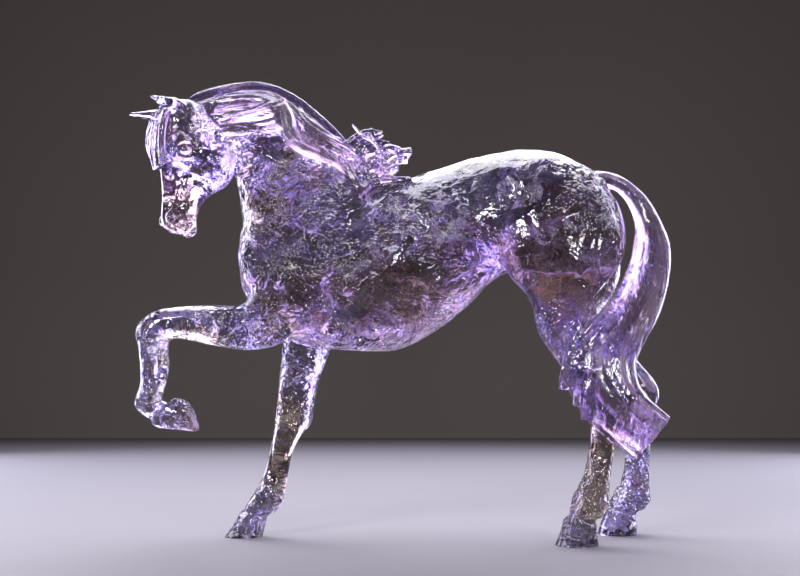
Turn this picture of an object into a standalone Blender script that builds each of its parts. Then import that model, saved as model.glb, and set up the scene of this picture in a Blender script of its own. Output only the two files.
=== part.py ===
"""A horse carved from one block of crystal, standing on three hooves with its left forefoot raised.

Blender metres, +Z up. The horse faces -X, its left side is towards -Y, and the origin lies on the
ground under the middle of its outline. Every form is a share of the horse's own height: a number in
an outline counts shares of HEIGHT / 296, so it reads as a millimetre on the full-size piece.
"""

import math
from collections import namedtuple

import bmesh
import bpy
import numpy as np
from mathutils import Matrix, Vector
from mathutils.bvhtree import BVHTree

# Driving sizes
HEIGHT = 0.296  # from the soles to the top of the mane
UNIT = HEIGHT / 296  # the unit of every outline below

# Finish of the solid
CLAY_GRAIN = 1.6 * UNIT  # voxel that fuses the masses of the body
CARVING_GRAIN = 1.0 * UNIT  # voxel that fuses hair, ears and hooves on to it
CLAY_SMOOTHING = 12  # rounds that run the masses of the body into each other
HEAD_SMOOTHING = 4
CARVING_SMOOTHING = 1
FACET_COUNT = 9400  # triangles left on the finished solid
OUTLINE_CENTRE = Vector((3.0, -4.5, 0.0)) * UNIT  # middle of the outline, which goes to the origin

# How the head is carried
POLL = Vector((-140, -24, 276))  # top of the skull, in units
HEAD_TURN = math.radians(35)  # towards the horse's left

AMETHYST = (0.62, 0.52, 0.86, 1.0)

# One slice through a form. a and b are the two ends of its outline in side view, as (x, z), with a in
# front, on top or outside. y is its middle sideways and width half its breadth. egg makes it broader
# towards a, and lean carries a sideways and b the other way.
Slice = namedtuple("Slice", "a b y width egg lean", defaults=(0.0, 0.0))

TORSO = [
    Slice((-104, 168), (-106, 186), 0, 9),
    Slice((-99, 154), (-103, 202), 0, 19),
    Slice((-88, 138), (-96, 214), 0, 26),
    Slice((-72, 127), (-78, 218), 0, 31),
    Slice((-50, 121), (-50, 222), 0, 34, 0.08),
    Slice((-26, 119), (-24, 226), 0, 37, 0.15),
    Slice((0, 120), (0, 232), 0, 39, 0.20),
    Slice((22, 131), (22, 239), 0, 39, 0.15),
    Slice((44, 148), (44, 246), 0, 37, 0.05),
    Slice((62, 166), (62, 250), 0, 34),
    Slice((80, 172), (80, 253), 0, 35),
    Slice((100, 170), (100, 251), 0, 37, -0.05),
    Slice((120, 172), (118, 244), 0, 33),
    Slice((136, 182), (134, 233), 0, 23),
    Slice((143, 196), (141, 212), 0, 10),
]

NECK = [
    Slice((-2, 224), (-98, 158), 0, 30, -0.25),
    Slice((-16, 234), (-103, 180), -1, 27, -0.25),
    Slice((-32, 246), (-103, 199), -2, 23, -0.25),
    Slice((-50, 259), (-105, 214), -4, 19, -0.20),
    Slice((-70, 271), (-107, 226), -6, 16, -0.15),
    Slice((-92, 279), (-110, 237), -8, 13.5, -0.10, -2),
    Slice((-113, 282), (-114, 247), -10, 12, 0, -4),
    Slice((-130, 279), (-121, 256), -14, 10.5, 0, -5),
    Slice((-138, 272), (-130, 264), -19, 8, 0, -3),
]

HIND_NEAR = [
    Slice((78, 228), (126, 232), -16, 8),
    Slice((66, 210), (140, 212), -20, 17),
    Slice((62, 190), (144, 192), -22, 19),
    Slice((64, 174), (141, 176), -23, 18),
    Slice((70, 163), (134, 165), -24, 16),
    Slice((78, 154), (127, 156), -24, 14.5),
    Slice((83, 145), (121, 148), -24, 13),
    Slice((84, 136), (120, 139), -24, 12),
    Slice((88, 126), (124, 129), -24, 11),
    Slice((95, 114), (133, 116), -24, 9.5),
    Slice((103, 104), (141, 104), -24, 8.5),
    Slice((112, 96), (145, 95), -24, 8.5),
    Slice((117, 87), (144, 87), -24, 8.5),
    Slice((118, 77), (136, 78), -24, 7.5),
    Slice((117, 66), (133, 66), -24, 7),
    Slice((115, 54), (131, 54), -24, 6.8),
    Slice((113, 44), (129.5, 44), -24, 7),
    Slice((109, 36), (128, 35), -24, 8),
    Slice((105.5, 30), (127, 26), -24, 9),
    Slice((103.5, 23), (124.5, 18), -24, 8.5),
    Slice((101, 16), (117, 12), -24, 8),
]

HIND_FAR = [
    Slice((80, 228), (128, 232), 16, 8),
    Slice((72, 210), (142, 212), 20, 17),
    Slice((70, 190), (150, 192), 22, 19),
    Slice((74, 175), (151, 175), 23, 18),
    Slice((82, 164), (147, 162), 24, 16),
    Slice((91, 155), (141, 152), 25, 14.5),
    Slice((98, 146), (137, 146), 25, 13),
    Slice((106, 136), (140, 138), 25, 12),
    Slice((115, 126), (147, 128), 25, 11),
    Slice((126, 116), (157, 118), 25, 9.5),
    Slice((137, 106), (167, 107), 25, 8.5),
    Slice((147, 97), (174, 97), 25, 8.5),
    Slice((151, 88), (174, 88), 25, 8.5),
    Slice((152, 78), (169, 79), 25, 7.5),
    Slice((151, 66), (168, 66), 25, 7),
    Slice((150, 54), (167, 54), 25, 6.8),
    Slice((149.5, 44), (166, 43), 25, 7),
    Slice((147, 36), (166, 34), 25, 8),
    Slice((143, 29), (165, 24), 25, 9),
    Slice((139, 23), (162, 16), 25, 8.5),
    Slice((137, 16), (154, 12), 25, 8),
]

FORE_RAISED = [
    Slice((-92, 160), (-62, 134), -18, 12),
    Slice((-98, 148), (-76, 122), -22, 13),
    Slice((-103, 146), (-90, 118), -23, 12.5),
    Slice((-111, 146), (-104, 118.5), -24, 11.5),
    Slice((-121, 146.5), (-117, 121), -25, 10.5),
    Slice((-132, 145.5), (-129, 123), -25, 9.5),
    Slice((-143, 144.5), (-139, 125), -25, 9),
    Slice((-153, 142.5), (-143, 124.5), -25, 9),
    Slice((-162, 136), (-144, 123), -25, 9.5),
    Slice((-165, 128), (-144.5, 121.5), -25, 9),
    Slice((-163, 120), (-144, 118), -25, 8.5),
    Slice((-161.5, 112), (-143, 111), -25, 7.5),
    Slice((-161, 103), (-143.5, 103), -25, 7),
    Slice((-161, 95), (-144.5, 96), -25, 7),
    Slice((-163, 89), (-146.5, 90), -25, 8),
    Slice((-163.5, 83), (-145, 86), -25, 8.5),
    Slice((-158.5, 78.5), (-142.5, 85.5), -25, 8),
    Slice((-152.5, 74), (-139, 86.5), -25, 7.5),
]

FORE_STANDING = [
    Slice((-88, 150), (-45, 150), 16, 13),
    Slice((-82, 134), (-44, 132), 17, 13.5),
    Slice((-79, 120), (-47, 118), 17, 12.5),
    Slice((-80, 107), (-52, 106), 17, 11.5),
    Slice((-81, 94), (-55, 93), 16.5, 10.5),
    Slice((-81.5, 83), (-58.5, 82), 16, 9.5),
    Slice((-82.5, 73), (-61.5, 72), 16, 9.5),
    Slice((-83.5, 65), (-66, 64), 15.5, 9),
    Slice((-85.5, 55), (-70, 54), 15, 7.5),
    Slice((-88, 44), (-72.5, 43), 14.5, 7),
    Slice((-91, 35), (-74, 33), 14, 7.5),
    Slice((-95, 28), (-75.5, 24), 14, 8.5),
    Slice((-99, 22), (-79, 16.5), 14, 8),
    Slice((-102.5, 16), (-86, 12), 14, 7.5),
]

# The standing hooves run a little below the ground and are sawn off flat there.
HOOVES = [
    [  # near hind
        Slice((100.5, 17), (117.5, 15), -24, 8),
        Slice((99.5, 14.5), (119, 13.5), -24, 9.6),
        Slice((97, 8), (119.5, 7), -24, 10.5, 0.08),
        Slice((93.5, 0), (120, 0), -24, 11.5, 0.10),
        Slice((92.5, -3), (120, -3), -24, 11.8, 0.10),
    ],
    [  # far hind
        Slice((136.5, 17), (154, 15), 25, 8),
        Slice((135.5, 14.5), (155.5, 13.5), 25, 9.6),
        Slice((133, 8), (156.5, 7), 25, 10.5, 0.08),
        Slice((130.5, 0), (156, 0), 25, 11.5, 0.10),
        Slice((129.5, -3), (156, -3), 25, 11.8, 0.10),
    ],
    [  # far fore
        Slice((-102.5, 16.5), (-87.5, 15), 14, 8),
        Slice((-104, 14), (-86, 13), 14, 9.2),
        Slice((-108.5, 7), (-87.5, 6), 14, 10, 0.08),
        Slice((-113, 0), (-89, 0), 14, 11, 0.10),
        Slice((-114, -3), (-89, -3), 14, 11.3, 0.10),
    ],
    [  # near fore, raised
        Slice((-153, 74), (-140, 87), -25, 7.8),
        Slice((-150.5, 71), (-138, 88.5), -25, 9),
        Slice((-142, 69.5), (-136, 88), -25, 10, 0.08),
        Slice((-129, 68), (-133, 87), -25, 10.6, 0.10),
        Slice((-126.5, 68.5), (-131.5, 86), -25, 10.2, 0.10),
    ],
]

# The head hangs from the poll in its own frame: it faces -X, nose down, with the poll at zero.
HEAD = [
    Slice((-4, 3), (5, 3), 0, 6),
    Slice((-10, 0), (12, 1), 0, 10),
    Slice((-14, -8), (20, -5), 0, 13),
    Slice((-16, -17), (30, -13), 0, 15),
    Slice((-16, -27), (35.5, -25), 0, 16.2, 0.05),
    Slice((-15, -36), (36, -37), 0, 15.5, 0.05),
    Slice((-13.5, -45), (32, -48), 0, 12.5),
    Slice((-12.5, -53), (22, -55), 0, 10.5),
    Slice((-12, -61), (15, -62), 0, 9),
    Slice((-12, -70), (11.5, -70), 0, 8.8),
    Slice((-11.5, -77), (10.5, -77), 0, 9.2),
    Slice((-9, -82), (9, -81), 0, 8),
    Slice((-5, -84.5), (6, -84), 0, 5),
]

TAIL = [
    Slice((122, 238), (126, 226), 0, 6),
    Slice((134, 239), (135, 228), 0, 6.5),
    Slice((145, 236), (143, 226), -1, 7),
    Slice((155, 229), (149, 220), -2, 8),
    Slice((164, 218), (153, 210), -4, 9),
    Slice((171, 203), (154, 200), -6, 10),
    Slice((175, 188), (152, 189), -9, 10.5),
    Slice((174, 171), (148, 175), -12, 11),
    Slice((169, 153), (140, 161), -16, 11),
    Slice((162, 137), (129, 146), -20, 11),
    Slice((153, 123), (116, 134), -24, 11),
    Slice((147, 113), (106, 122), -28, 11.5),
    Slice((145, 104), (101, 108), -30, 12),
    Slice((147, 95), (102, 96), -31, 12),
    Slice((152, 88), (108, 83), -31, 12),
    Slice((159, 82), (118, 70), -30, 11),
    Slice((165, 77), (141, 51), -29, 9),
]
TAIL_CORE = 0.86  # girth of the smooth core, as a share of the tail's
TAIL_STRANDS = 9  # strands laid round the core
STRAND_GIRTH = 0.36  # girth of one strand, as a share of the tail's
STRAND_TWIST = 1.2  # how far the strands wind round the core from root to end, in radians
SHORT_STRAND = 0.88  # where every third strand ends, as a share of the tail's length

# One mass of muscle or bone: its centre, its three radii, and how far its top leans towards +X, in
# degrees.
Mass = namedtuple("Mass", "centre radii lean", defaults=(0.0,))

# Masses on either side of the body, with y counted outwards.
BODY_MASSES = [
    Mass((-52, 18, 194), (24, 14, 44), 38),  # shoulder blade
    Mass((-62, 21, 162), (32, 14, 32)),  # upper arm
    Mass((-82, 18, 166), (17, 13, 24), -40),  # point of the shoulder
    Mass((-92, 10, 166), (11, 11, 17)),  # breast
    Mass((94, 21, 210), (38, 17, 34), 10),  # haunch
    Mass((72, 19, 226), (18, 12, 15)),  # point of the hip
]
THIGHS = [
    Mass((100, -25, 190), (34, 16, 36)),  # near
    Mass((106, 25, 190), (35, 16, 36)),  # far
]

# Masses on either side of the head, in its frame, with y counted outwards.
HEAD_MASSES = [
    Mass((17, 10, -34), (18, 6, 16)),  # cheek
    Mass((-5, 12, -26), (7, 4, 3.6), 20),  # brow
    Mass((-3.5, 13.4, -33), (3.8, 2.8, 3.0)),  # eye
    Mass((2, 9.5, -50), (3.2, 2.6, 15), 22),  # ridge of the face
    Mass((-7, 6.4, -76), (4.2, 3.2, 4.8), -15),  # nostril
]
CHIN = Mass((6, 0, -81), (5.2, 6.6, 5.0))

# The ear in the head's frame, with y counted outwards, and slices through it as (share of its length,
# half its breadth, half its depth).
EAR_BASE = Vector((-4, 8.5, -6))
EAR_TIP = Vector((-26, 14.5, -6))
EAR_SLICES = [(0, 3.6, 3.2), (0.2, 4.6, 3.4), (0.45, 4.4, 2.8), (0.75, 2.7, 1.9), (1, 0.5, 0.5)]

# One lock of hair, flat to the way it faces. breadth and thickness are halves, and sizes gives them
# along the path as shares. Both ends are cut off flat.
Lock = namedtuple("Lock", "path breadth thickness sizes")

# The mane on either side. A path runs in side view, as (x, z), and lies on the neck.
MANE = [
    Lock([(-134, 274), (-114, 281), (-95, 284), (-76, 279), (-54, 263), (-33, 248)],
         4.6, 4.0, (0.7, 1, 1, 1, 0.8, 0.5)),
    Lock([(-124, 267), (-103, 272), (-86, 273), (-72, 268), (-60, 260)], 4.4, 3.4, (0.6, 1, 1, 1, 0.7)),
    Lock([(-118, 261), (-106, 264), (-89, 268), (-76, 275), (-66, 281)], 3.6, 3.4, (0.3, 1, 1, 1, 0.7)),
    Lock([(-119, 259), (-102, 261), (-86, 263), (-72, 269), (-61, 274)], 3.8, 3.8, (0.3, 1, 1, 1, 0.7)),
    Lock([(-118, 257), (-102, 257), (-85, 258), (-71, 263), (-61, 268)], 3.4, 3.4, (0.3, 1, 1, 1, 0.7)),
    Lock([(-68, 276), (-68, 262), (-63, 250), (-46, 241), (-32, 238), (-20, 237)],
         5.4, 4.4, (0.8, 1.1, 1, 0.75, 0.5, 0.3)),
    Lock([(-64, 274), (-55, 261), (-44, 254), (-32, 252), (-18, 252)], 3.0, 3.4, (0.8, 1, 1, 0.8, 0.6)),
    Lock([(-63, 266), (-53, 253), (-40, 248), (-28, 246), (-15, 247)], 3.2, 3.4, (0.8, 1, 1, 0.8, 0.6)),
    Lock([(-60, 257), (-50, 248), (-38, 243), (-26, 241), (-14, 241)], 3.2, 3.4, (0.8, 1, 1, 0.8, 0.6)),
    Lock([(-41, 242), (-34, 235), (-29, 225), (-26, 215)], 4.2, 3.0, (0.9, 1, 0.8, 0.15)),
    Lock([(-14, 237), (-19, 230), (-23, 223), (-26, 215)], 3.6, 3.0, (0.9, 1, 0.8, 0.15)),
]

# The body of the mane, which sits over the crest of the neck like a saddle.
CAP = [
    Slice((-143, 273), (-134, 258), -20, 7),
    Slice((-134, 281), (-125, 260), -17, 9.5),
    Slice((-117, 287), (-112, 262), -14, 11.5, 0, 1),
    Slice((-98, 290), (-97, 263), -11, 13, 0, 1),
    Slice((-84, 288), (-88, 260), -9, 14),
    Slice((-71, 282), (-78, 254), -7, 15),
    Slice((-58, 273), (-68, 246), -5, 15.5),
    Slice((-46, 263), (-57, 239), -4, 15),
    Slice((-34, 251), (-44, 232), -3, 14),
    Slice((-22, 240), (-32, 226), -2, 11),
]

# The ridge along its top, and the locks that stand clear of the withers, as (x, y, z).
RIDGE = Lock(
    [(-140, -21, 276), (-131, -17, 282), (-115, -14, 287), (-97, -11, 290.5), (-84, -9, 288.5),
     (-71, -7, 282.5), (-58, -5, 273.5), (-46, -4, 263.5), (-34, -3, 251.5), (-24, -2, 242)],
    6.5, 5.5, (0.6, 0.9, 1, 1, 1, 1, 0.9, 0.8, 0.6, 0.4),
)
LOOSE = [
    Lock([(-27, -7, 231), (-17, -8, 236), (-9, -7, 242), (-2, -6, 247), (8, -5, 248.5)],
         5.5, 4.5, (0.8, 0.8, 0.8, 0.9, 1)),
    Lock([(-17, -12, 238), (-14, -13, 246), (-7, -14, 250.5), (0, -13, 248), (0, -12, 241)],
         2.2, 2.4, (1, 1, 1, 1, 0.6)),
    Lock([(-25, -13, 228), (-14, -13, 231), (-7, -12, 235), (-1, -11, 239)], 3.2, 2.6, (1, 1, 1, 0.9)),
    Lock([(-27, -15, 224), (-16, -14, 227.5), (-4, -12, 229.5), (7, -11, 230)], 2.4, 3.2, (1, 1, 1, 0.9)),
    Lock([(-28, -18, 219), (-18, -17, 222), (-8, -15, 224), (3, -13, 225)], 2.4, 3.2, (1, 1, 1, 0.9)),
]

# Three flat locks that fall over the forehead, in the head's frame.
FORELOCK = [
    Lock([(-6, 3, 3), (-13, 7, -4), (-17.5, 9.5, -15), (-18, 10.5, -27), (-15, 10.5, -38)],
         3.8, 2.0, (0.8, 1, 1, 0.9, 0.4)),
    Lock([(-8, 0, 2), (-15, 1.5, -6), (-18.5, 3.5, -21), (-18, 4.5, -34), (-15.5, 4.5, -44)],
         2.2, 1.8, (1, 1, 1, 0.9, 0.8)),
    Lock([(-8, -3, 1), (-14, -7.5, -7), (-17.5, -9, -19), (-17.5, -8, -30), (-16, -6.5, -38)],
         4.6, 2.2, (0.7, 1, 1, 1, 0.9)),
]


def clear_scene():
    """Empties the scene, so that only the horse is in it."""
    for thing in list(bpy.data.objects):
        bpy.data.objects.remove(thing)


def crystal():
    """The one material of the piece: clear crystal with an amethyst tint."""
    material = bpy.data.materials.new("crystal")
    material.use_nodes = True
    shader = material.node_tree.nodes["Principled BSDF"]
    shader.inputs["Base Color"].default_value = AMETHYST
    shader.inputs["Metallic"].default_value = 0.0
    shader.inputs["Roughness"].default_value = 0.03
    shader.inputs["Transmission Weight"].default_value = 1.0
    shader.inputs["IOR"].default_value = 1.52
    material.diffuse_color = AMETHYST
    return material


def eased(values, steps):
    """Rows of numbers with steps - 1 more between each two, on a Catmull-Rom curve through them."""
    rows = np.array(values, float)
    padded = np.vstack([2 * rows[0] - rows[1], rows, 2 * rows[-1] - rows[-2]])
    found = []
    for before, start, end, after in zip(padded, padded[1:], padded[2:], padded[3:]):
        for t in np.arange(steps) / steps:
            bend = before - 2.5 * start + 2 * end - 0.5 * after
            twist = 1.5 * (start - end) + 0.5 * (after - before)
            found.append(start + 0.5 * t * (end - before) + t**2 * bend + t**3 * twist)
    return found + [rows[-1]]


def skin(rings):
    """A closed mesh through rings of points: a disc that is drawn out from each ring to the next."""
    made = bmesh.new()
    bmesh.ops.create_circle(made, cap_ends=True, segments=len(rings[0]), radius=1)
    made.faces.ensure_lookup_table()
    disc = made.faces[0]
    for number, ring in enumerate(rings):
        if number:
            drawn = bmesh.ops.extrude_face_region(made, geom=[disc])["geom"]
            if number > 1:
                made.faces.remove(disc)  # the first disc stays, as the closed start
            disc = next(item for item in drawn if isinstance(item, bmesh.types.BMFace))
        for vert, place in zip(disc.verts, ring):
            vert.co = place
    bmesh.ops.recalc_face_normals(made, faces=made.faces)
    return made


def ring_of(middle, reach, side, egg, sides):
    """Points around an egg that reaches to middle + reach, and to side on either hand."""
    points = []
    for t in np.linspace(0, 2 * math.pi, sides, endpoint=False):
        points.append((middle + reach * math.cos(t) + side * math.sin(t) * (1 + egg * math.cos(t))) * UNIT)
    return points


def eased_slices(slices, steps=3):
    """Middle, reach, side and egg of the slices, and of more slices eased in between them."""
    rows = [(*s.a, *s.b, s.y, s.width, s.egg, s.lean) for s in slices]
    found = []
    for ax, az, bx, bz, y, width, egg, lean in eased(rows, steps):
        middle = Vector(((ax + bx) / 2, y, (az + bz) / 2))
        reach = Vector(((ax - bx) / 2, lean, (az - bz) / 2))
        found.append((middle, reach, Vector((0, width, 0)), egg))
    return found


def loft(slices, sides=32):
    """A smooth closed form through slices."""
    return skin([ring_of(*row, sides) for row in eased_slices(slices)])


def strand(slices, turn, twist, girth, stop=1.0, sides=14):
    """One strand of a bundle with the outline of slices, which winds round by twist and ends at stop."""
    rows = eased_slices(slices)
    rings = []
    for number, (middle, reach, side, _) in enumerate(rows[: round(len(rows) * stop)]):
        at = turn + twist * number / len(rows)
        place = middle + (reach * math.cos(at) + side * math.sin(at)) * (1 - girth)
        rings.append(ring_of(place, reach * girth, side * girth, 0, sides))
    return skin(rings)


def mass(shape, side=1):
    """An egg-shaped mass of muscle or bone. side is -1 for the horse's left and 1 for its right."""
    x, y, z = shape.centre
    place = Matrix.Translation(Vector((x, y * side, z)) * UNIT)
    lean = Matrix.Rotation(math.radians(shape.lean), 4, "Y")
    stretch = Matrix.Diagonal((*(Vector(shape.radii) * UNIT), 1.0))
    made = bmesh.new()
    bmesh.ops.create_icosphere(made, subdivisions=4, radius=1, matrix=place @ lean @ stretch)
    return made


def hair(lock, facing, steps=5, sides=12):
    """A lock of hair along its path, flat to facing."""
    points = [Vector(p) for p in eased(lock.path, steps)]
    shares = np.linspace(0, 1, len(lock.sizes))
    rings = []
    for number, point in enumerate(points):
        ahead = points[min(number + 1, len(points) - 1)]
        behind = points[max(number - 1, 0)]
        along = (ahead - behind).normalized()
        across = along.cross(Vector(facing)).normalized()
        out = across.cross(along)
        size = np.interp(number / (len(points) - 1), shares, lock.sizes)
        rings.append(ring_of(point, across * lock.breadth * size, out * lock.thickness * size, 0, sides))
    return skin(rings)


def laid(lock, body, side):
    """A lock with its side-view path laid on the skin of body, seen from side."""
    found = []
    for x, z in lock.path:
        outside = Vector((x * UNIT, side * HEIGHT, z * UNIT))
        hit = body.ray_cast(outside, Vector((0, -side, 0)))[0]
        if hit is None:
            hit = body.find_nearest(Vector((x, 0, z)) * UNIT)[0]
        found.append((x, hit.y / UNIT, z))
    return lock._replace(path=found)


def ear(side, sides=12):
    """One ear in the head's frame: a pointed leaf, pricked forwards."""
    base, tip = (Vector((end.x, end.y * side, end.z)) for end in (EAR_BASE, EAR_TIP))
    upright = Vector((0.2, 0.2 * side, 1))
    sideways = Vector((0, 1, 0))
    rings = []
    for share, breadth, depth in EAR_SLICES:
        rings.append(ring_of(base.lerp(tip, share), upright * breadth, sideways * depth, 0, sides))
    return skin(rings)


def join(name, forms):
    """One object that holds several forms, whose skins may overlap."""
    whole = bmesh.new()
    for form in forms:
        part = bpy.data.meshes.new("form")
        form.to_mesh(part)
        form.free()
        whole.from_mesh(part)
        bpy.data.meshes.remove(part)
    mesh = bpy.data.meshes.new(name)
    whole.to_mesh(mesh)
    whole.free()
    made = bpy.data.objects.new(name, mesh)
    bpy.context.scene.collection.objects.link(made)
    return made


def settled(thing):
    """Takes the object's modifiers into its mesh."""
    graph = bpy.context.evaluated_depsgraph_get()
    mesh = bpy.data.meshes.new_from_object(thing.evaluated_get(graph))
    thing.modifiers.clear()
    thing.data = mesh


def fuse(thing, grain, smoothing):
    """Runs the object's overlapping forms into one skin, on a grid of grain metres."""
    remesh = thing.modifiers.new("fuse", "REMESH")
    remesh.mode = "VOXEL"
    remesh.voxel_size = grain
    remesh.adaptivity = 0
    smooth = thing.modifiers.new("smooth", "SMOOTH")
    smooth.factor = 0.5
    smooth.iterations = smoothing
    settled(thing)


def facet(thing, count):
    """Cuts the object's skin down to about count triangles, which stay smallest where it bends most."""
    decimate = thing.modifiers.new("facet", "DECIMATE")
    decimate.ratio = count / (2 * len(thing.data.polygons))
    decimate.use_collapse_triangulate = True
    settled(thing)


def saw_flat(thing):
    """Saws the object off at the ground, which leaves a flat sole under each standing hoof."""
    sawn = bmesh.new()
    sawn.from_mesh(thing.data)
    whole = sawn.verts[:] + sawn.edges[:] + sawn.faces[:]
    cut = bmesh.ops.bisect_plane(sawn, geom=whole, plane_co=(0, 0, 0), plane_no=(0, 0, -1), clear_outer=True)
    rims = [item for item in cut["geom_cut"] if isinstance(item, bmesh.types.BMEdge)]
    bmesh.ops.holes_fill(sawn, edges=rims, sides=0)
    bmesh.ops.triangulate(sawn, faces=[face for face in sawn.faces if len(face.verts) > 3])
    sawn.to_mesh(thing.data)
    sawn.free()


def taken_out(thing):
    """The object's mesh as a form, with the object gone."""
    form = bmesh.new()
    form.from_mesh(thing.data)
    bpy.data.objects.remove(thing)
    return form


def body_made():
    """The body, neck and legs as one smooth form."""
    forms = [loft(s) for s in (TORSO, NECK, HIND_NEAR, HIND_FAR, FORE_RAISED, FORE_STANDING, CAP)]
    forms += [mass(shape, side) for shape in BODY_MASSES for side in (-1, 1)]
    forms += [mass(shape) for shape in THIGHS]
    body = join("body", forms)
    fuse(body, CLAY_GRAIN, CLAY_SMOOTHING)
    return taken_out(body)


def head_made():
    """The skull with cheeks, brows, eyes, nostrils and chin as one smooth form, in the head's frame."""
    forms = [loft(HEAD), mass(CHIN)]
    forms += [mass(shape, side) for shape in HEAD_MASSES for side in (-1, 1)]
    head = join("head", forms)
    fuse(head, CARVING_GRAIN, HEAD_SMOOTHING)
    return taken_out(head)


def tail_forms():
    """The tail: strands that wind slowly round a core, and end at different heights."""
    forms = [strand(TAIL, 0, 0, TAIL_CORE)]
    for number in range(TAIL_STRANDS):
        turn = 2 * math.pi * number / TAIL_STRANDS
        stop = 1.0 if number % 3 else SHORT_STRAND
        forms.append(strand(TAIL, turn, STRAND_TWIST, STRAND_GIRTH, stop))
    return forms


def mane_forms(body):
    """The ridge of the mane, its locks on either side of the neck, and those clear of the withers."""
    forms = [hair(RIDGE, (0, 0, 1))]
    forms += [hair(lock, (0, -1, 0)) for lock in LOOSE]
    for side in (-1, 1):
        forms += [hair(laid(lock, body, side), (0, side, 0.3)) for lock in MANE]
    return forms


def main():
    clear_scene()
    hung = Matrix.Translation(POLL * UNIT) @ Matrix.Rotation(HEAD_TURN, 4, "Z")
    forms = [head_made(), ear(-1), ear(1)]
    forms += [hair(lock, (-1, 0, 0)) for lock in FORELOCK]
    for form in forms:
        bmesh.ops.transform(form, matrix=hung, verts=form.verts)
    forms += [loft(s) for s in HOOVES]
    forms += tail_forms()
    body = body_made()
    forms += mane_forms(BVHTree.FromBMesh(body))
    forms.append(body)
    horse = join("crystal_horse", forms)
    fuse(horse, CARVING_GRAIN, CARVING_SMOOTHING)
    facet(horse, FACET_COUNT)
    saw_flat(horse)
    horse.data.transform(Matrix.Translation(-OUTLINE_CENTRE))
    horse.data.materials.append(crystal())


main()
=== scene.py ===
# %% [markdown]
# # A horse carved from one block of crystal
#
# The real piece is a table-top sculpture of clear crystal with an amethyst tint. A horse stands on
# three hooves and holds its left forefoot up, with a bowed neck, a mane in glassy locks and a long
# tail of twisted strands.
#
# The plain solid of this horse is already made. This lesson repeats its forms at a finer grain,
# carves what a plain solid can't hold, and gives it the look of polished crystal. First we load
# that solid, which fixes size and place.

# %% Load the frame
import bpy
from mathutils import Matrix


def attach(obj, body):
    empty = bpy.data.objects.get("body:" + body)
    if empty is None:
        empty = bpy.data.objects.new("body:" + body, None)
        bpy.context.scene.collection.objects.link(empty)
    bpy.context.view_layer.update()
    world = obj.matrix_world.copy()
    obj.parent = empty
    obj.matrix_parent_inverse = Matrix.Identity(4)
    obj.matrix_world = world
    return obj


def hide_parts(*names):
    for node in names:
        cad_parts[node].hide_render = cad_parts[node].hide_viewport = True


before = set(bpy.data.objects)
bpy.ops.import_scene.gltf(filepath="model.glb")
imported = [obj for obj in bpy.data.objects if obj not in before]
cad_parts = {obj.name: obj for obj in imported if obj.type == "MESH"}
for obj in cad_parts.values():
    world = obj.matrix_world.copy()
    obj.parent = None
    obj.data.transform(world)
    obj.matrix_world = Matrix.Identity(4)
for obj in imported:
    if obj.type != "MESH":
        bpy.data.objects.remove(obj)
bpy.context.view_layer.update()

# %% [markdown]
# ## Measures
#
# Every number in the outlines below is a millimetre on the full-size horse. Blender works in
# metres, so MM turns one into the other. The outlines were drawn around a point near the belly, and
# MIDDLE carries the finished horse from there to the origin of the plain solid, on the ground under
# the middle of its outline.

# %% Measures
import math
from collections import namedtuple
from functools import partial

import bmesh
import bpy
import numpy as np
from mathutils import Matrix, Vector, noise
from mathutils.bvhtree import BVHTree

MM = 0.001
MIDDLE = Vector((3.0, -4.5, 0.0)) * MM
LEFT, RIGHT = -1, 1
print("one millimetre is", MM, "m")

# %% [markdown]
# ## Rings and skins
#
# A leg, a neck or a tail is a form that changes its section as it goes. Sculptors who work with
# wire build it from rings. Here a disc is drawn out from each ring to the next with the extrude
# operator, which leaves a closed skin. The rings between two drawn ones lie on a smooth curve, so a
# few rings are enough for a whole leg.

# %% Rings and skins
def eased(values, steps):
    """Rows of numbers with steps - 1 more between each two, on a smooth curve through them."""
    rows = np.array(values, float)
    padded = np.vstack([2 * rows[0] - rows[1], rows, 2 * rows[-1] - rows[-2]])
    found = []
    for before, start, end, after in zip(padded, padded[1:], padded[2:], padded[3:]):
        for t in np.arange(steps) / steps:
            bend = before - 2.5 * start + 2 * end - 0.5 * after
            twist = 1.5 * (start - end) + 0.5 * (after - before)
            found.append(start + 0.5 * t * (end - before) + t**2 * bend + t**3 * twist)
    return found + [rows[-1]]


def ring_of(middle, reach, side, egg, sides):
    """Points around an egg that reaches to middle + reach, and to side on either hand."""
    points = []
    for t in np.linspace(0, 2 * math.pi, sides, endpoint=False):
        breadth = 1 + egg * math.cos(t)
        points.append((middle + reach * math.cos(t) + side * math.sin(t) * breadth) * MM)
    return points


def skin(rings):
    """A closed mesh through rings of points."""
    made = bmesh.new()
    bmesh.ops.create_circle(made, cap_ends=True, segments=len(rings[0]), radius=1)
    made.faces.ensure_lookup_table()
    disc = made.faces[0]
    for number, ring in enumerate(rings):
        if number:
            drawn = bmesh.ops.extrude_face_region(made, geom=[disc])["geom"]
            if number > 1:
                made.faces.remove(disc)
            disc = next(item for item in drawn if isinstance(item, bmesh.types.BMFace))
        for vert, place in zip(disc.verts, ring):
            vert.co = place
    bmesh.ops.recalc_face_normals(made, faces=made.faces)
    return made


# %% [markdown]
# ## Slices
#
# A slice is one cut through a form as seen from the side: its front or top end, its back or lower
# end, how far it lies from the middle of the horse, and half its breadth. A slice can also be
# broader at one end, like an egg, and lean over. A loft is the skin through a row of slices.

# %% Slices and lofts
Slice = namedtuple("Slice", "a b y width egg lean", defaults=(0.0, 0.0))


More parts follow.
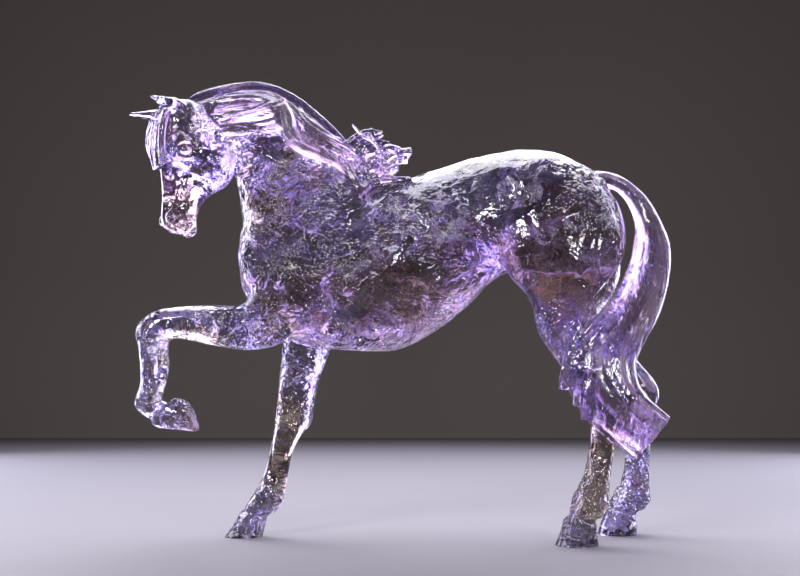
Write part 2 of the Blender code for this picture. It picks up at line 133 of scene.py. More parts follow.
def eased_slices(slices, steps=4):
    """Middle, reach, side and egg of the slices, and of more slices eased in between them."""
    rows = [(*s.a, *s.b, s.y, s.width, s.egg, s.lean) for s in slices]
    found = []
    for ax, az, bx, bz, y, width, egg, lean in eased(rows, steps):
        middle = Vector(((ax + bx) / 2, y, (az + bz) / 2))
        reach = Vector(((ax - bx) / 2, lean, (az - bz) / 2))
        found.append((middle, reach, Vector((0, width, 0)), egg))
    return found


def loft(slices, sides=40):
    """A smooth closed form through slices."""
    return skin([ring_of(*row, sides) for row in eased_slices(slices)])


# %% [markdown]
# ## The trunk
#
# The barrel of the horse hangs deep behind the elbow and rises to the flank, while the back line
# climbs to the croup. The slices run from the breast to the root of the tail.

# %% The trunk
TORSO = [
    Slice((-104, 168), (-106, 186), 0, 9),
    Slice((-99, 154), (-103, 202), 0, 19),
    Slice((-88, 138), (-96, 214), 0, 26),
    Slice((-72, 127), (-78, 218), 0, 31),
    Slice((-50, 121), (-50, 222), 0, 34, 0.08),
    Slice((-26, 119), (-24, 226), 0, 37, 0.15),
    Slice((0, 120), (0, 232), 0, 39, 0.20),
    Slice((22, 131), (22, 239), 0, 39, 0.15),
    Slice((44, 148), (44, 246), 0, 37, 0.05),
    Slice((62, 166), (62, 250), 0, 34),
    Slice((80, 172), (80, 253), 0, 35),
    Slice((100, 170), (100, 251), 0, 37, -0.05),
    Slice((120, 172), (118, 244), 0, 33),
    Slice((136, 182), (134, 233), 0, 23),
    Slice((143, 196), (141, 212), 0, 10),
]
trunk = loft(TORSO)
print("the trunk has", len(trunk.faces), "faces")

# %% [markdown]
# ## The neck
#
# The neck leaves the trunk broad and deep, bows up to its crest and narrows into the throat. Its
# slices slant, because each one stands square to the way the neck runs there.

# %% The neck
NECK = [
    Slice((-2, 224), (-98, 158), 0, 30, -0.25),
    Slice((-16, 234), (-103, 180), -1, 27, -0.25),
    Slice((-32, 246), (-103, 199), -2, 23, -0.25),
    Slice((-50, 259), (-105, 214), -4, 19, -0.20),
    Slice((-70, 271), (-107, 226), -6, 16, -0.15),
    Slice((-92, 279), (-110, 237), -8, 13.5, -0.10, -2),
    Slice((-113, 282), (-114, 247), -10, 12, 0, -4),
    Slice((-130, 279), (-121, 256), -14, 10.5, 0, -5),
    Slice((-138, 272), (-130, 264), -19, 8, 0, -3),
]
neck = loft(NECK)
print("the neck has", len(neck.faces), "faces")

# %% [markdown]
# ## The hind legs
#
# Each hind leg is a broad thigh, a gaskin that slopes back to the point of the hock, an upright
# cannon, and a sloping pastern. The far leg stands further back than the near one.

# %% The hind legs
HIND_NEAR = [
    Slice((78, 228), (126, 232), -16, 8),
    Slice((66, 210), (140, 212), -20, 17),
    Slice((62, 190), (144, 192), -22, 19),
    Slice((64, 174), (141, 176), -23, 18),
    Slice((70, 163), (134, 165), -24, 16),
    Slice((78, 154), (127, 156), -24, 14.5),
    Slice((83, 145), (121, 148), -24, 13),
    Slice((84, 136), (120, 139), -24, 12),
    Slice((88, 126), (124, 129), -24, 11),
    Slice((95, 114), (133, 116), -24, 9.5),
    Slice((103, 104), (141, 104), -24, 8.5),
    Slice((112, 96), (145, 95), -24, 8.5),
    Slice((117, 87), (144, 87), -24, 8.5),
    Slice((118, 77), (136, 78), -24, 7.5),
    Slice((117, 66), (133, 66), -24, 7),
    Slice((115, 54), (131, 54), -24, 6.8),
    Slice((113, 44), (129.5, 44), -24, 7),
    Slice((109, 36), (128, 35), -24, 8),
    Slice((105.5, 30), (127, 26), -24, 9),
    Slice((103.5, 23), (124.5, 18), -24, 8.5),
    Slice((101, 16), (117, 12), -24, 8),
]
HIND_FAR = [
    Slice((80, 228), (128, 232), 16, 8),
    Slice((72, 210), (142, 212), 20, 17),
    Slice((70, 190), (150, 192), 22, 19),
    Slice((74, 175), (151, 175), 23, 18),
    Slice((82, 164), (147, 162), 24, 16),
    Slice((91, 155), (141, 152), 25, 14.5),
    Slice((98, 146), (137, 146), 25, 13),
    Slice((106, 136), (140, 138), 25, 12),
    Slice((115, 126), (147, 128), 25, 11),
    Slice((126, 116), (157, 118), 25, 9.5),
    Slice((137, 106), (167, 107), 25, 8.5),
    Slice((147, 97), (174, 97), 25, 8.5),
    Slice((151, 88), (174, 88), 25, 8.5),
    Slice((152, 78), (169, 79), 25, 7.5),
    Slice((151, 66), (168, 66), 25, 7),
    Slice((150, 54), (167, 54), 25, 6.8),
    Slice((149.5, 44), (166, 43), 25, 7),
    Slice((147, 36), (166, 34), 25, 8),
    Slice((143, 29), (165, 24), 25, 9),
    Slice((139, 23), (162, 16), 25, 8.5),
    Slice((137, 16), (154, 12), 25, 8),
]
hind_legs = [loft(HIND_NEAR), loft(HIND_FAR)]
print("the hind legs have", sum(len(leg.faces) for leg in hind_legs), "faces")

# %% [markdown]
# ## The forelegs
#
# The left foreleg is held up: its forearm runs level, the knee bends, and the cannon hangs. The
# right foreleg slopes forward to the ground.

# %% The forelegs
FORE_RAISED = [
    Slice((-92, 160), (-62, 134), -18, 12),
    Slice((-98, 148), (-76, 122), -22, 13),
    Slice((-103, 146), (-90, 118), -23, 12.5),
    Slice((-111, 146), (-104, 118.5), -24, 11.5),
    Slice((-121, 146.5), (-117, 121), -25, 10.5),
    Slice((-132, 145.5), (-129, 123), -25, 9.5),
    Slice((-143, 144.5), (-139, 125), -25, 9),
    Slice((-153, 142.5), (-143, 124.5), -25, 9),
    Slice((-162, 136), (-144, 123), -25, 9.5),
    Slice((-165, 128), (-144.5, 121.5), -25, 9),
    Slice((-163, 120), (-144, 118), -25, 8.5),
    Slice((-161.5, 112), (-143, 111), -25, 7.5),
    Slice((-161, 103), (-143.5, 103), -25, 7),
    Slice((-161, 95), (-144.5, 96), -25, 7),
    Slice((-163, 89), (-146.5, 90), -25, 8),
    Slice((-163.5, 83), (-145, 86), -25, 8.5),
    Slice((-158.5, 78.5), (-142.5, 85.5), -25, 8),
    Slice((-152.5, 74), (-139, 86.5), -25, 7.5),
]
FORE_STANDING = [
    Slice((-88, 150), (-45, 150), 16, 13),
    Slice((-82, 134), (-44, 132), 17, 13.5),
    Slice((-79, 120), (-47, 118), 17, 12.5),
    Slice((-80, 107), (-52, 106), 17, 11.5),
    Slice((-81, 94), (-55, 93), 16.5, 10.5),
    Slice((-81.5, 83), (-56.5, 82), 16, 9.5),
    Slice((-83, 73), (-58.5, 72), 16, 9.8),
    Slice((-83.5, 65), (-65.5, 64), 15.5, 9),
    Slice((-85.5, 55), (-70, 54), 15, 7.5),
    Slice((-88, 44), (-72.5, 43), 14.5, 7),
    Slice((-91, 35), (-74, 33), 14, 7.5),
    Slice((-95, 28), (-75.5, 24), 14, 8.5),
    Slice((-99, 22), (-79, 16.5), 14, 8),
    Slice((-102.5, 16), (-86, 12), 14, 7.5),
]
forelegs = [loft(FORE_RAISED), loft(FORE_STANDING)]
print("the forelegs have", sum(len(leg.faces) for leg in forelegs), "faces")

# %% [markdown]
# ## Muscle and bone
#
# A carver blocks in the muscles as eggs of clay on the rough form. Here an egg is an icosphere that
# is stretched, leaned and put in place. Those on both sides are given once, with y counted
# outwards.

# %% Muscle and bone
Mass = namedtuple("Mass", "centre radii lean", defaults=(0.0,))
BODY_MASSES = [
    Mass((-52, 18, 194), (24, 14, 44), 38),  # shoulder blade
    Mass((-62, 21, 162), (32, 14, 32)),  # upper arm
    Mass((-82, 18, 166), (17, 13, 24), -40),  # point of the shoulder
    Mass((-92, 10, 166), (11, 11, 17)),  # breast
    Mass((94, 21, 210), (38, 17, 34), 10),  # haunch
    Mass((72, 19, 226), (18, 12, 15)),  # point of the hip
]
THIGHS = [
    Mass((100, -25, 190), (34, 16, 36)),  # near
    Mass((106, 25, 190), (35, 16, 36)),  # far
]


def mass(shape, side=RIGHT):
    """An egg-shaped mass of muscle or bone on one side of the horse."""
    x, y, z = shape.centre
    place = Matrix.Translation(Vector((x, y * side, z)) * MM)
    lean = Matrix.Rotation(math.radians(shape.lean), 4, "Y")
    stretch = Matrix.Diagonal((*(Vector(shape.radii) * MM), 1.0))
    made = bmesh.new()
    bmesh.ops.create_icosphere(made, subdivisions=4, radius=1, matrix=place @ lean @ stretch)
    return made


muscles = [mass(shape, side) for shape in BODY_MASSES for side in (LEFT, RIGHT)]
muscles += [mass(shape) for shape in THIGHS]
print(len(muscles), "masses of muscle and bone")

# %% [markdown]
# ## The body of the mane
#
# Under its locks the mane is one smooth saddle of crystal over the crest, clear enough to look
# into.

# %% The body of the mane
CAP = [
    Slice((-143, 273), (-134, 258), -20, 7),
    Slice((-134, 281), (-125, 260), -17, 9.5),
    Slice((-117, 287), (-112, 262), -14, 11.5, 0, 1),
    Slice((-98, 290), (-97, 263), -11, 13, 0, 1),
    Slice((-84, 288), (-88, 260), -9, 14),
    Slice((-71, 282), (-78, 254), -7, 15),
    Slice((-58, 273), (-68, 246), -5, 15.5),
    Slice((-46, 263), (-57, 239), -4, 15),
    Slice((-34, 251), (-44, 232), -3, 14),
    Slice((-22, 240), (-32, 226), -2, 11),
]
mane_saddle = loft(CAP)
print("the saddle of the mane has", len(mane_saddle.faces), "faces")

# %% [markdown]
# ## Running the forms together
#
# The forms overlap, and a row of crossing skins would show inside clear crystal. The Remesh
# modifier lays one new skin around them on a fine grid, and the Smooth modifier runs the seams out,
# as a wet thumb does on clay.

# %% Running the forms together
def join(name, forms):
    """One object that holds several forms, whose skins may overlap."""
    whole = bmesh.new()
    for form in forms:
        part = bpy.data.meshes.new("form")
        form.to_mesh(part)
        form.free()
        whole.from_mesh(part)
        bpy.data.meshes.remove(part)
    mesh = bpy.data.meshes.new(name)
    whole.to_mesh(mesh)
    whole.free()
    made = bpy.data.objects.new(name, mesh)
    bpy.context.scene.collection.objects.link(made)
    return made


def settled(thing):
    """Takes the object's modifiers into its mesh."""
    graph = bpy.context.evaluated_depsgraph_get()
    mesh = bpy.data.meshes.new_from_object(thing.evaluated_get(graph))
    thing.modifiers.clear()
    thing.data = mesh


def fuse(thing, grain, smoothing):
    """Runs the object's overlapping forms into one skin, on a grid of grain millimetres."""
    remesh = thing.modifiers.new("fuse", "REMESH")
    remesh.mode = "VOXEL"
    remesh.voxel_size = grain * MM
    remesh.adaptivity = 0
    smooth = thing.modifiers.new("smooth", "SMOOTH")
    smooth.factor = 0.5
    smooth.iterations = smoothing
    settled(thing)


def taken_out(thing):
    """The object's mesh as a form, with the object gone."""
    form = bmesh.new()
    form.from_mesh(thing.data)
    bpy.data.objects.remove(thing)
    return form


body = join("body", [trunk, neck, *hind_legs, *forelegs, *muscles, mane_saddle])
BODY_GRAIN, BODY_SMOOTHING = 1.3, 18
fuse(body, BODY_GRAIN, BODY_SMOOTHING)
print("the body has", len(body.data.polygons), "faces")

# %% [markdown]
# ## Carving a line
#
# Much of a horse's drawing is in lines: the edge of a shoulder, a tendon, an eyelid. A chisel mark
# is a path drawn in side view and laid on the skin with a ray from the side. Every point of the
# skin near the path then moves in or out, most at the middle of the mark. A negative depth raises a
# ridge. The marks on the body are soft and shallow.

# %% Carving a line
Mark = namedtuple("Mark", "path width depth")
WELL_OUTSIDE = 300  # how far out to the side a ray starts


def skin_tree(thing):
    """A search tree over the object's skin."""
    surface = bmesh.new()
    surface.from_mesh(thing.data)
    tree = BVHTree.FromBMesh(surface)
    surface.free()
    return tree


def laid(path, tree, side, proud=0.0):
    """A side-view path laid on the skin in tree, seen from one side, or standing proud of it."""
    found = []
    for x, z in path:
        start = Vector((x, side * WELL_OUTSIDE, z)) * MM
        hit = tree.ray_cast(start, Vector((0, -side, 0)))[0]
        if hit is None:
            hit = tree.find_nearest(Vector((x, 0, z)) * MM)[0]
        found.append((x, hit.y / MM + side * proud, z))
    return found


def points_of(thing):
    """The points of the object's skin in millimetres, and the way the skin faces at each."""
    mesh = thing.data
    places, outward = np.empty(len(mesh.vertices) * 3), np.empty(len(mesh.vertices) * 3)
    mesh.vertices.foreach_get("co", places)
    mesh.vertex_normals.foreach_get("vector", outward)
    return places.reshape(-1, 3) / MM, outward.reshape(-1, 3)


def move_out(thing, places, outward, distance):
    """Moves the points of the object's skin along the way they face."""
    moved = (places + outward * distance[:, None]) * MM
    thing.data.vertices.foreach_set("co", moved.ravel())
    thing.data.update()


def chisel(thing, marks):
    """Carves marks in the object's skin, the same on either side."""
    places, outward = points_of(thing)
    tree = skin_tree(thing)
    height = np.zeros(len(places))
    for side in (LEFT, RIGHT):
        for mark in marks:
            line = np.array(eased(laid(mark.path, tree, side), 5))
            low, high = line.min(0) - mark.width, line.max(0) + mark.width
            near = np.flatnonzero(((places > low) & (places < high)).all(1))
            gap = np.full(len(near), np.inf)
            for start, end in zip(line, line[1:]):
                way = end - start
                along = np.clip((places[near] - start) @ way / (way @ way), 0, 1)
                aside = places[near] - start - along[:, None] * way
                gap = np.minimum(gap, np.linalg.norm(aside, axis=1))
            height[near] -= mark.depth * np.clip(1 - (gap / mark.width) ** 2, 0, 1) ** 2
    move_out(thing, places, outward, height)


BODY_MARKS = [
    Mark([(-26, 226), (-48, 208), (-72, 190), (-92, 178)], 7, 1.2),  # front of the shoulder blade
    Mark([(-14, 214), (-22, 196), (-32, 176), (-44, 160)], 8, 1.0),  # back edge of the shoulder
    Mark([(-112, 244), (-103, 222), (-99, 200), (-94, 182)], 5, 1.0),  # groove of the throat
    Mark([(-92, 252), (-78, 236), (-58, 222), (-36, 214)], 6, -0.8),  # muscle along the neck
    Mark([(-30, 150), (-48, 138), (-70, 132)], 5, 1.0),  # under the upper arm
    Mark([(64, 222), (76, 200), (80, 180), (84, 166)], 7, 0.9),  # front of the thigh
    Mark([(116, 226), (121, 204), (118, 182), (112, 160)], 6, 1.1),  # split of the thigh
    Mark([(58, 184), (48, 176), (36, 160)], 7, -0.9),  # fold of the flank
    Mark([(108, 150), (114, 136), (124, 122)], 4, 0.9),  # split of the gaskin
]
chisel(body, BODY_MARKS)
print(len(BODY_MARKS), "marks on either side of the body")

# %% [markdown]
# ## The head
#
# The head is made apart, hanging straight down from the poll and facing forward, because a straight
# head is easy to draw. It gets its turn to the left when it is hung on the neck. Skull, cheeks,
# brows, eyeballs, the ridge of the face, nostrils and chin are run together first.

# %% The head
HEAD = [
    Slice((-4, 3), (5, 3), 0, 6),
    Slice((-10, 0), (12, 1), 0, 10),
    Slice((-14, -8), (20, -5), 0, 13),
    Slice((-16, -17), (30, -13), 0, 15),
    Slice((-16, -27), (35.5, -25), 0, 16.2, 0.05),
    Slice((-15, -36), (36, -37), 0, 15.5, 0.05),
    Slice((-13.5, -45), (32, -48), 0, 12.5),
    Slice((-12.5, -53), (22, -55), 0, 10.5),
    Slice((-12, -61), (15, -62), 0, 9),
    Slice((-12, -70), (11.5, -70), 0, 8.8),
    Slice((-11.5, -77), (10.5, -77), 0, 9.2),
    Slice((-9, -82), (9, -81), 0, 8),
    Slice((-5, -84.5), (6, -84), 0, 5),
]
HEAD_MASSES = [
    Mass((17, 10, -34), (18, 6, 16)),  # cheek
    Mass((-5, 12, -26), (7, 4, 3.6), 20),  # brow
    Mass((-3.5, 13.4, -33), (3.8, 2.8, 3.0)),  # eye
    Mass((2, 9.5, -50), (3.2, 2.6, 15), 22),  # ridge of the face
    Mass((-7, 6.4, -76), (4.2, 3.2, 4.8), -15),  # nostril
]
CHIN = Mass((6, 0, -81), (5.2, 6.6, 5.0))
head_masses = [mass(shape, side) for shape in HEAD_MASSES for side in (LEFT, RIGHT)]
head = join("head", [loft(HEAD), mass(CHIN), *head_masses])
HEAD_GRAIN, HEAD_SMOOTHING = 0.7, 4
fuse(head, HEAD_GRAIN, HEAD_SMOOTHING)
print("the head has", len(head.data.polygons), "faces")

# %% [markdown]
# ## Eyes, nostrils and mouth
#
# The fine drawing of the face comes from the same chisel: a groove round the eyeball, two raised
# lids, the nostril cut deep, its rim raised, the line of the mouth, and the hollow above the chin.

# %% Eyes, nostrils and mouth
def round_path(x, z, across, up, start=0, end=360, count=9):
    """Points on part of an oval round (x, z), from start to end in degrees."""
    turns = np.radians(np.linspace(start, end, count))
    return [(x + across * math.cos(t), z + up * math.sin(t)) for t in turns]


FACE_MARKS = [
    Mark(round_path(-3, -33, 4.6, 3.6), 1.4, 1.3),  # groove round the eye
    Mark(round_path(-3, -33, 6.2, 5.2, 10, 170), 1.4, -1.3),  # upper lid
    Mark(round_path(-3, -33, 6.2, 5.0, 190, 350), 1.3, -1.0),  # lower lid
    Mark([(-9, -44), (-7, -54), (-6, -64)], 3.0, 0.6),  # hollow beside the nose bone
    Mark([(14, -48), (6, -50), (2, -58)], 2.6, 0.8),  # under the ridge of the face
    Mark([(28, -18), (20, -10), (10, -6)], 3.0, 0.8),  # behind the cheek
    Mark([(-9.0, -72.5), (-6.4, -74.5), (-5.4, -77.5), (-6.6, -79.5)], 1.9, 2.4),  # nostril
    Mark([(-9.6, -70.5), (-5.6, -71.8), (-3.2, -75.5), (-4.2, -79.5)], 1.3, -0.7),  # its rim
    Mark([(-8, -81.6), (-3, -80.2), (3, -77.5), (7, -75)], 1.2, 1.3),  # mouth
    Mark([(11, -72), (5, -75.5), (0, -79)], 2.0, -0.5),  # lower lip
]
chisel(head, FACE_MARKS)
print(len(FACE_MARKS), "marks on either side of the face")

# %% [markdown]
# ## The ears
#
# An ear is a pointed leaf, pricked forwards. The right one leans out a little further than the
# left.

# %% The ears
EAR_BASE = Vector((-4, 8.5, -6))
EAR_TIPS = {LEFT: Vector((-27.5, 15.0, -3.5)), RIGHT: Vector((-30, 17.0, -6.5))}
EAR_SLICES = [(0, 4.6, 3.4), (0.25, 5.1, 3.4), (0.5, 3.9, 2.6), (0.78, 2.1, 1.6), (1, 0.8, 0.8)]


def ear(side, sides=16):
    """One ear in the head's frame, pricked forwards."""
    base, tip = (Vector((end.x, end.y * side, end.z)) for end in (EAR_BASE, EAR_TIPS[side]))
    upright = Vector((0.2, 0.2 * side, 1))
    rings = []
    for share, breadth, depth in eased(EAR_SLICES, 4):
        middle = base.lerp(tip, share)
        rings.append(ring_of(middle, upright * breadth, Vector((0, depth, 0)), 0, sides))
    return skin(rings)


ears = [ear(LEFT), ear(RIGHT)]
print("the ears have", sum(len(form.faces) for form in ears), "faces")

# %% [markdown]
# ## Locks of hair
#
# A lock is a flat bundle that follows a path. It is made of a few strands side by side, each a thin
# skin of its own, so that the light catches a groove between each two. The ends are cut off flat,
# some a little short of the others.
#
# Some locks are clear and dark, others milky and bright. Each strand keeps a tone for that, from 0
# for clear violet to 1 for milky pink-white.

# %% Locks of hair
Lock = namedtuple("Lock", "path breadth thickness sizes")
OVERLAP = 1.3  # breadth of a strand, as a share of the room it has in its lock
THINNER = 0.25  # share that every second strand is thinner by
TONE_SPREAD = 0.22
GOLDEN = 0.618  # a step that takes the strands through the tones without repeating


def strands_of(lock, facing, tone, count=3, steps=6, sides=10):
    """The strands of a lock along its path, flat to facing, each with a tone near the lock's."""
    points = [Vector(p) for p in eased(lock.path, steps)]
    shares = np.linspace(0, 1, len(lock.sizes))
    found = []
    for number in range(count):
        aside = (2 * number + 1) / count - 1
        full = 1.0 - THINNER * (number % 2)
        rings = []
        for step, point in enumerate(points[: len(points) - number % 3]):
            after, before = points[min(step + 1, len(points) - 1)], points[max(step - 1, 0)]
            along = (after - before).normalized()
            across = along.cross(Vector(facing)).normalized()
            out = across.cross(along)
            size = np.interp(step / (len(points) - 1), shares, lock.sizes)
            middle = point + across * lock.breadth * size * aside * (1 - 0.5 / count)
            girth = lock.breadth * size * OVERLAP / count
            depth = out * lock.thickness * size * full
            rings.append(ring_of(middle, across * girth, depth, 0, sides))
        found.append((skin(rings), tone + TONE_SPREAD * ((number * GOLDEN) % 1 - 0.5)))
    return found


# %% [markdown]
# ## The forelock
#
# Three locks fall from between the ears over the forehead: a long one that swings clear to the
# horse's right, a thin one down the middle and a broad one with a flat end.

# %% The forelock
FORELOCK = [
    Lock([(-6, 3, 3), (-13, 7, -4), (-17.5, 9.5, -15), (-18, 10.5, -27), (-15, 10.5, -38)],
         3.8, 2.0, (0.8, 1, 1, 0.9, 0.4)),
    Lock([(-8, 0, 2), (-15, 1.5, -6), (-18.5, 3.5, -21), (-18, 4.5, -34), (-15.5, 4.5, -44)],
         2.2, 1.8, (1, 1, 1, 0.9, 0.8)),
    Lock([(-8, -3, 1), (-14, -7.5, -7), (-17.5, -9, -19), (-17.5, -8, -30), (-16, -6.5, -38)],
         4.6, 2.2, (0.7, 1, 1, 1, 0.9)),
]
forelock = []
for lock, tone, count in zip(FORELOCK, (0.55, 0.3, 0.8), (3, 1, 3)):
    forelock += strands_of(lock, (-1, 0, 0), tone, count)
print("the forelock has", len(forelock), "strands")

# %% [markdown]
# ## Hanging the head
#
# Head, ears and forelock turn together by 35 degrees to the horse's left, and go to the poll at the
# end of the neck.

# %% Hanging the head
POLL = Vector((-140, -24, 276))
HEAD_TURN = 35
hung = Matrix.Translation(POLL * MM) @ Matrix.Rotation(math.radians(HEAD_TURN), 4, "Z")
head_forms = [taken_out(head), *ears]
for form in head_forms + [form for form, tone in forelock]:
    bmesh.ops.transform(form, matrix=hung, verts=form.verts)
print("the head hangs at", tuple(POLL))

# %% [markdown]
# ## The hooves
#
# A hoof widens from the hairy edge of the coronet to its rim. The three standing hooves run a
# little below the ground here and are sawn off flat at the end.

# %% The hooves
HOOVES = [
    [  # near hind
        Slice((100.5, 17), (117.5, 15), -24, 8),
        Slice((99.5, 14.5), (119, 13.5), -24, 9.6),
        Slice((97, 8), (119.5, 7), -24, 10.5, 0.08),
        Slice((93.5, 0), (120, 0), -24, 11.5, 0.10),
        Slice((92.5, -3), (120, -3), -24, 11.8, 0.10),
    ],
    [  # far hind
        Slice((136.5, 17), (154, 15), 25, 8),
        Slice((135.5, 14.5), (155.5, 13.5), 25, 9.6),
        Slice((133, 8), (156.5, 7), 25, 10.5, 0.08),
        Slice((130.5, 0), (156, 0), 25, 11.5, 0.10),
        Slice((129.5, -3), (156, -3), 25, 11.8, 0.10),
    ],
    [  # far fore
        Slice((-102.5, 16.5), (-87.5, 15), 14, 8),
        Slice((-104, 14), (-86, 13), 14, 9.2),
        Slice((-108.5, 7), (-87.5, 6), 14, 10, 0.08),
        Slice((-113, 0), (-89, 0), 14, 11, 0.10),
        Slice((-114, -3), (-89, -3), 14, 11.3, 0.10),
    ],
    [  # near fore, raised
        Slice((-153, 74), (-140, 87), -25, 7.8),
        Slice((-150.5, 71), (-138, 88.5), -25, 9),
        Slice((-142, 69.5), (-136, 88), -25, 10, 0.08),
        Slice((-128, 68), (-133, 87), -25, 10.4, 0.10),
        Slice((-123.6, 68.6), (-131, 85.8), -25, 10.0, 0.10),
    ],
]
hooves = [loft(slices) for slices in HOOVES]
print(len(hooves), "hooves")

# %% [markdown]
# ## The tail
#
# The tail leaves the croup level, drops, sweeps in under the hock and ends in a flat cut. It is a
# smooth core with strands that wind round it slowly, like a loosely laid rope. Strands of two
# girths are mixed, and some end early. A bundle holds the strands of one girth: how many there are,
# how far on they start round the core, their girth and corners, where they end, and their tones.

# %% The tail
TAIL = [
    Slice((122, 238), (126, 226), 0, 6),
    Slice((134, 239), (135, 228), 0, 6.5),
    Slice((145, 236), (143, 226), -1, 7),
    Slice((155, 229), (149, 220), -2, 8),
    Slice((164, 218), (153, 210), -4, 9),
    Slice((171, 203), (154, 200), -6, 10),
    Slice((175, 188), (152, 189), -9, 10.5),
    Slice((174, 171), (148, 175), -12, 11),
    Slice((169, 153), (140, 161), -16, 11),
    Slice((162, 137), (129, 146), -20, 11),
    Slice((153, 123), (116, 134), -24, 11),
    Slice((147, 113), (106, 122), -28, 11.5),
    Slice((145, 104), (101, 108), -30, 12),
    Slice((147, 95), (102, 96), -31, 12),
    Slice((152, 88), (108, 83), -31, 12),
    Slice((159, 82), (118, 70), -30, 11),
    Slice((165, 77), (141, 51), -29, 9),
]


def strand(slices, turn, twist, girth, stop=1.0, sides=14):
    """One strand of a bundle that fills slices. It winds by twist and ends at the share stop."""
    rows = eased_slices(slices)
    rings = []
    for number, (middle, reach, side, _) in enumerate(rows[: round(len(rows) * stop)]):
        at = turn + twist * number / len(rows)
        place = middle + (reach * math.cos(at) + side * math.sin(at)) * (1 - girth)
        rings.append(ring_of(place, reach * girth, side * girth, 0, sides))
    return skin(rings)


Bundle = namedtuple("Bundle", "count shift girth sides stops tones")
BUNDLES = [
    Bundle(9, 0, 0.36, 14, (0.88, 1.0, 1.0), (0.4, 1.0, 0.7)),
    Bundle(15, 0.3, 0.19, 12, (1.0, 0.92, 0.97, 0.85, 0.95), (0.95, 0.8, 0.2, 0.3, 0.55)),
]
CORE_GIRTH, CORE_TONE = 0.80, 0.75
TAIL_TWIST = 1.2
tail = [(strand(TAIL, 0, 0, CORE_GIRTH), CORE_TONE)]
for bundle in BUNDLES:
    for number in range(bundle.count):
        turn = 2 * math.pi * (number + bundle.shift) / bundle.count
        stop = bundle.stops[number % len(bundle.stops)]
        tone = bundle.tones[number % len(bundle.tones)]
        made = strand(TAIL, turn, TAIL_TWIST, bundle.girth, stop, bundle.sides)
        tail.append((made, tone))
print("the tail has", len(tail), "strands")

# %% [markdown]
# ## Loose ends of the tail
#
# Below the hock a few strands leave the bundle. Four on the front side end one under another, and
# two on the back side curl up to short tips.

# %% Loose ends of the tail
TAIL_ENDS = [
    Lock([(121, -33, 137), (110.5, -34, 124.7), (103.5, -34, 112.4), (100, -34, 100),
          (99.7, -34, 93)], 2.6, 2.4, (0.5, 1, 1, 1, 1)),
    Lock([(124, -35, 132.5), (114.7, -36, 120), (107.6, -36, 108), (104.5, -36, 95)],
         2.6, 2.4, (0.5, 1, 1, 1)),
    Lock([(125.6, -36, 126), (116.6, -37, 111), (109.5, -37, 96), (107.4, -37, 83)],
         2.8, 2.6, (0.5, 1, 1, 1)),
    Lock([(128.8, -38, 120), (119.9, -39, 105), (113.4, -40, 90), (112.3, -39, 75)],
         3.2, 2.6, (0.5, 1, 1, 1)),
    Lock([(136, -32, 117.4), (139.3, -33, 104), (144.4, -33, 94.2), (150, -33, 89.4)],
         1.8, 2.0, (1, 1, 0.9, 0.5)),
    Lock([(130.4, -35, 116), (134.8, -36, 101.4), (141.6, -36, 89.5), (148.5, -36, 86)],
         2.0, 2.2, (1, 1, 0.9, 0.5)),
]
for lock, tone in zip(TAIL_ENDS, (0.7, 0.4, 0.9, 0.6, 0.85, 0.5)):
    tail += strands_of(lock, (0, -1, 0), tone, 1)
print("with its loose ends the tail has", len(tail), "strands")

# %% [markdown]
# ## The mane
#
# Three narrow bands of hair run along the crest of the clear saddle. Under them a sheet of hair
# fans out from behind the cheek and is drawn up over the crest. There it turns over into one
# twisted lock, whose white is a painted highlight, and below that long locks sweep back and cross
# in a point on the shoulder. The far side, which nobody sees in this view, gets the same locks.
# Every lock is given in side view and laid on the neck.

# %% The locks of the mane
BANDS = [
    Lock([(-124, 287.5), (-119, 289), (-107.7, 291), (-96.5, 291), (-85, 289.5), (-72, 283),
          (-56, 269.5), (-39, 252.5)], 0.8, 1.5, (0.4, 1, 1, 1, 1, 1, 0.8, 0.4)),
    Lock([(-128, 284), (-119.6, 286.5), (-107.7, 288), (-96.5, 288), (-86, 286.5), (-74, 280.5),
          (-58, 267), (-40, 250)], 1.5, 1.6, (0.4, 1, 1, 1, 1, 1, 0.8, 0.4)),
    Lock([(-124, 278), (-116, 280), (-105.4, 281.9), (-96, 282), (-88.9, 281.2), (-80, 277.5)],
         1.8, 1.8, (0.4, 1, 1.2, 1.2, 1, 0.5)),
]
SHEET = [
    Lock([(-121, 266), (-110, 269), (-98, 270.5), (-86, 274.5), (-75, 281)],
         2.8, 3.2, (0.3, 0.8, 1, 1.1, 1.1)),
    Lock([(-121, 264), (-110, 266.5), (-98, 268), (-85, 271), (-72.5, 276)],
         2.8, 3.4, (0.3, 0.8, 1, 1.1, 1.1)),
    Lock([(-120, 262), (-110, 264), (-98, 265.5), (-85, 267), (-71.5, 270.5)],
         2.8, 3.4, (0.3, 0.8, 1, 1.1, 1.1)),
    Lock([(-118, 259.5), (-108, 260.5), (-97, 262), (-85, 263), (-73, 265)],
         2.6, 3.0, (0.3, 0.8, 1, 1, 0.8)),
]
# the twisted lock is real hair; the palest tone it gets below paints a highlight along it
TWIST = Lock([(-76, 279), (-72.5, 268), (-71, 259.5), (-65, 251.4), (-54, 246), (-41, 240.6),
              (-23.4, 236.6)], 4.0, 4.6, (0.5, 1, 1.2, 1.2, 0.9, 0.6, 0.3))
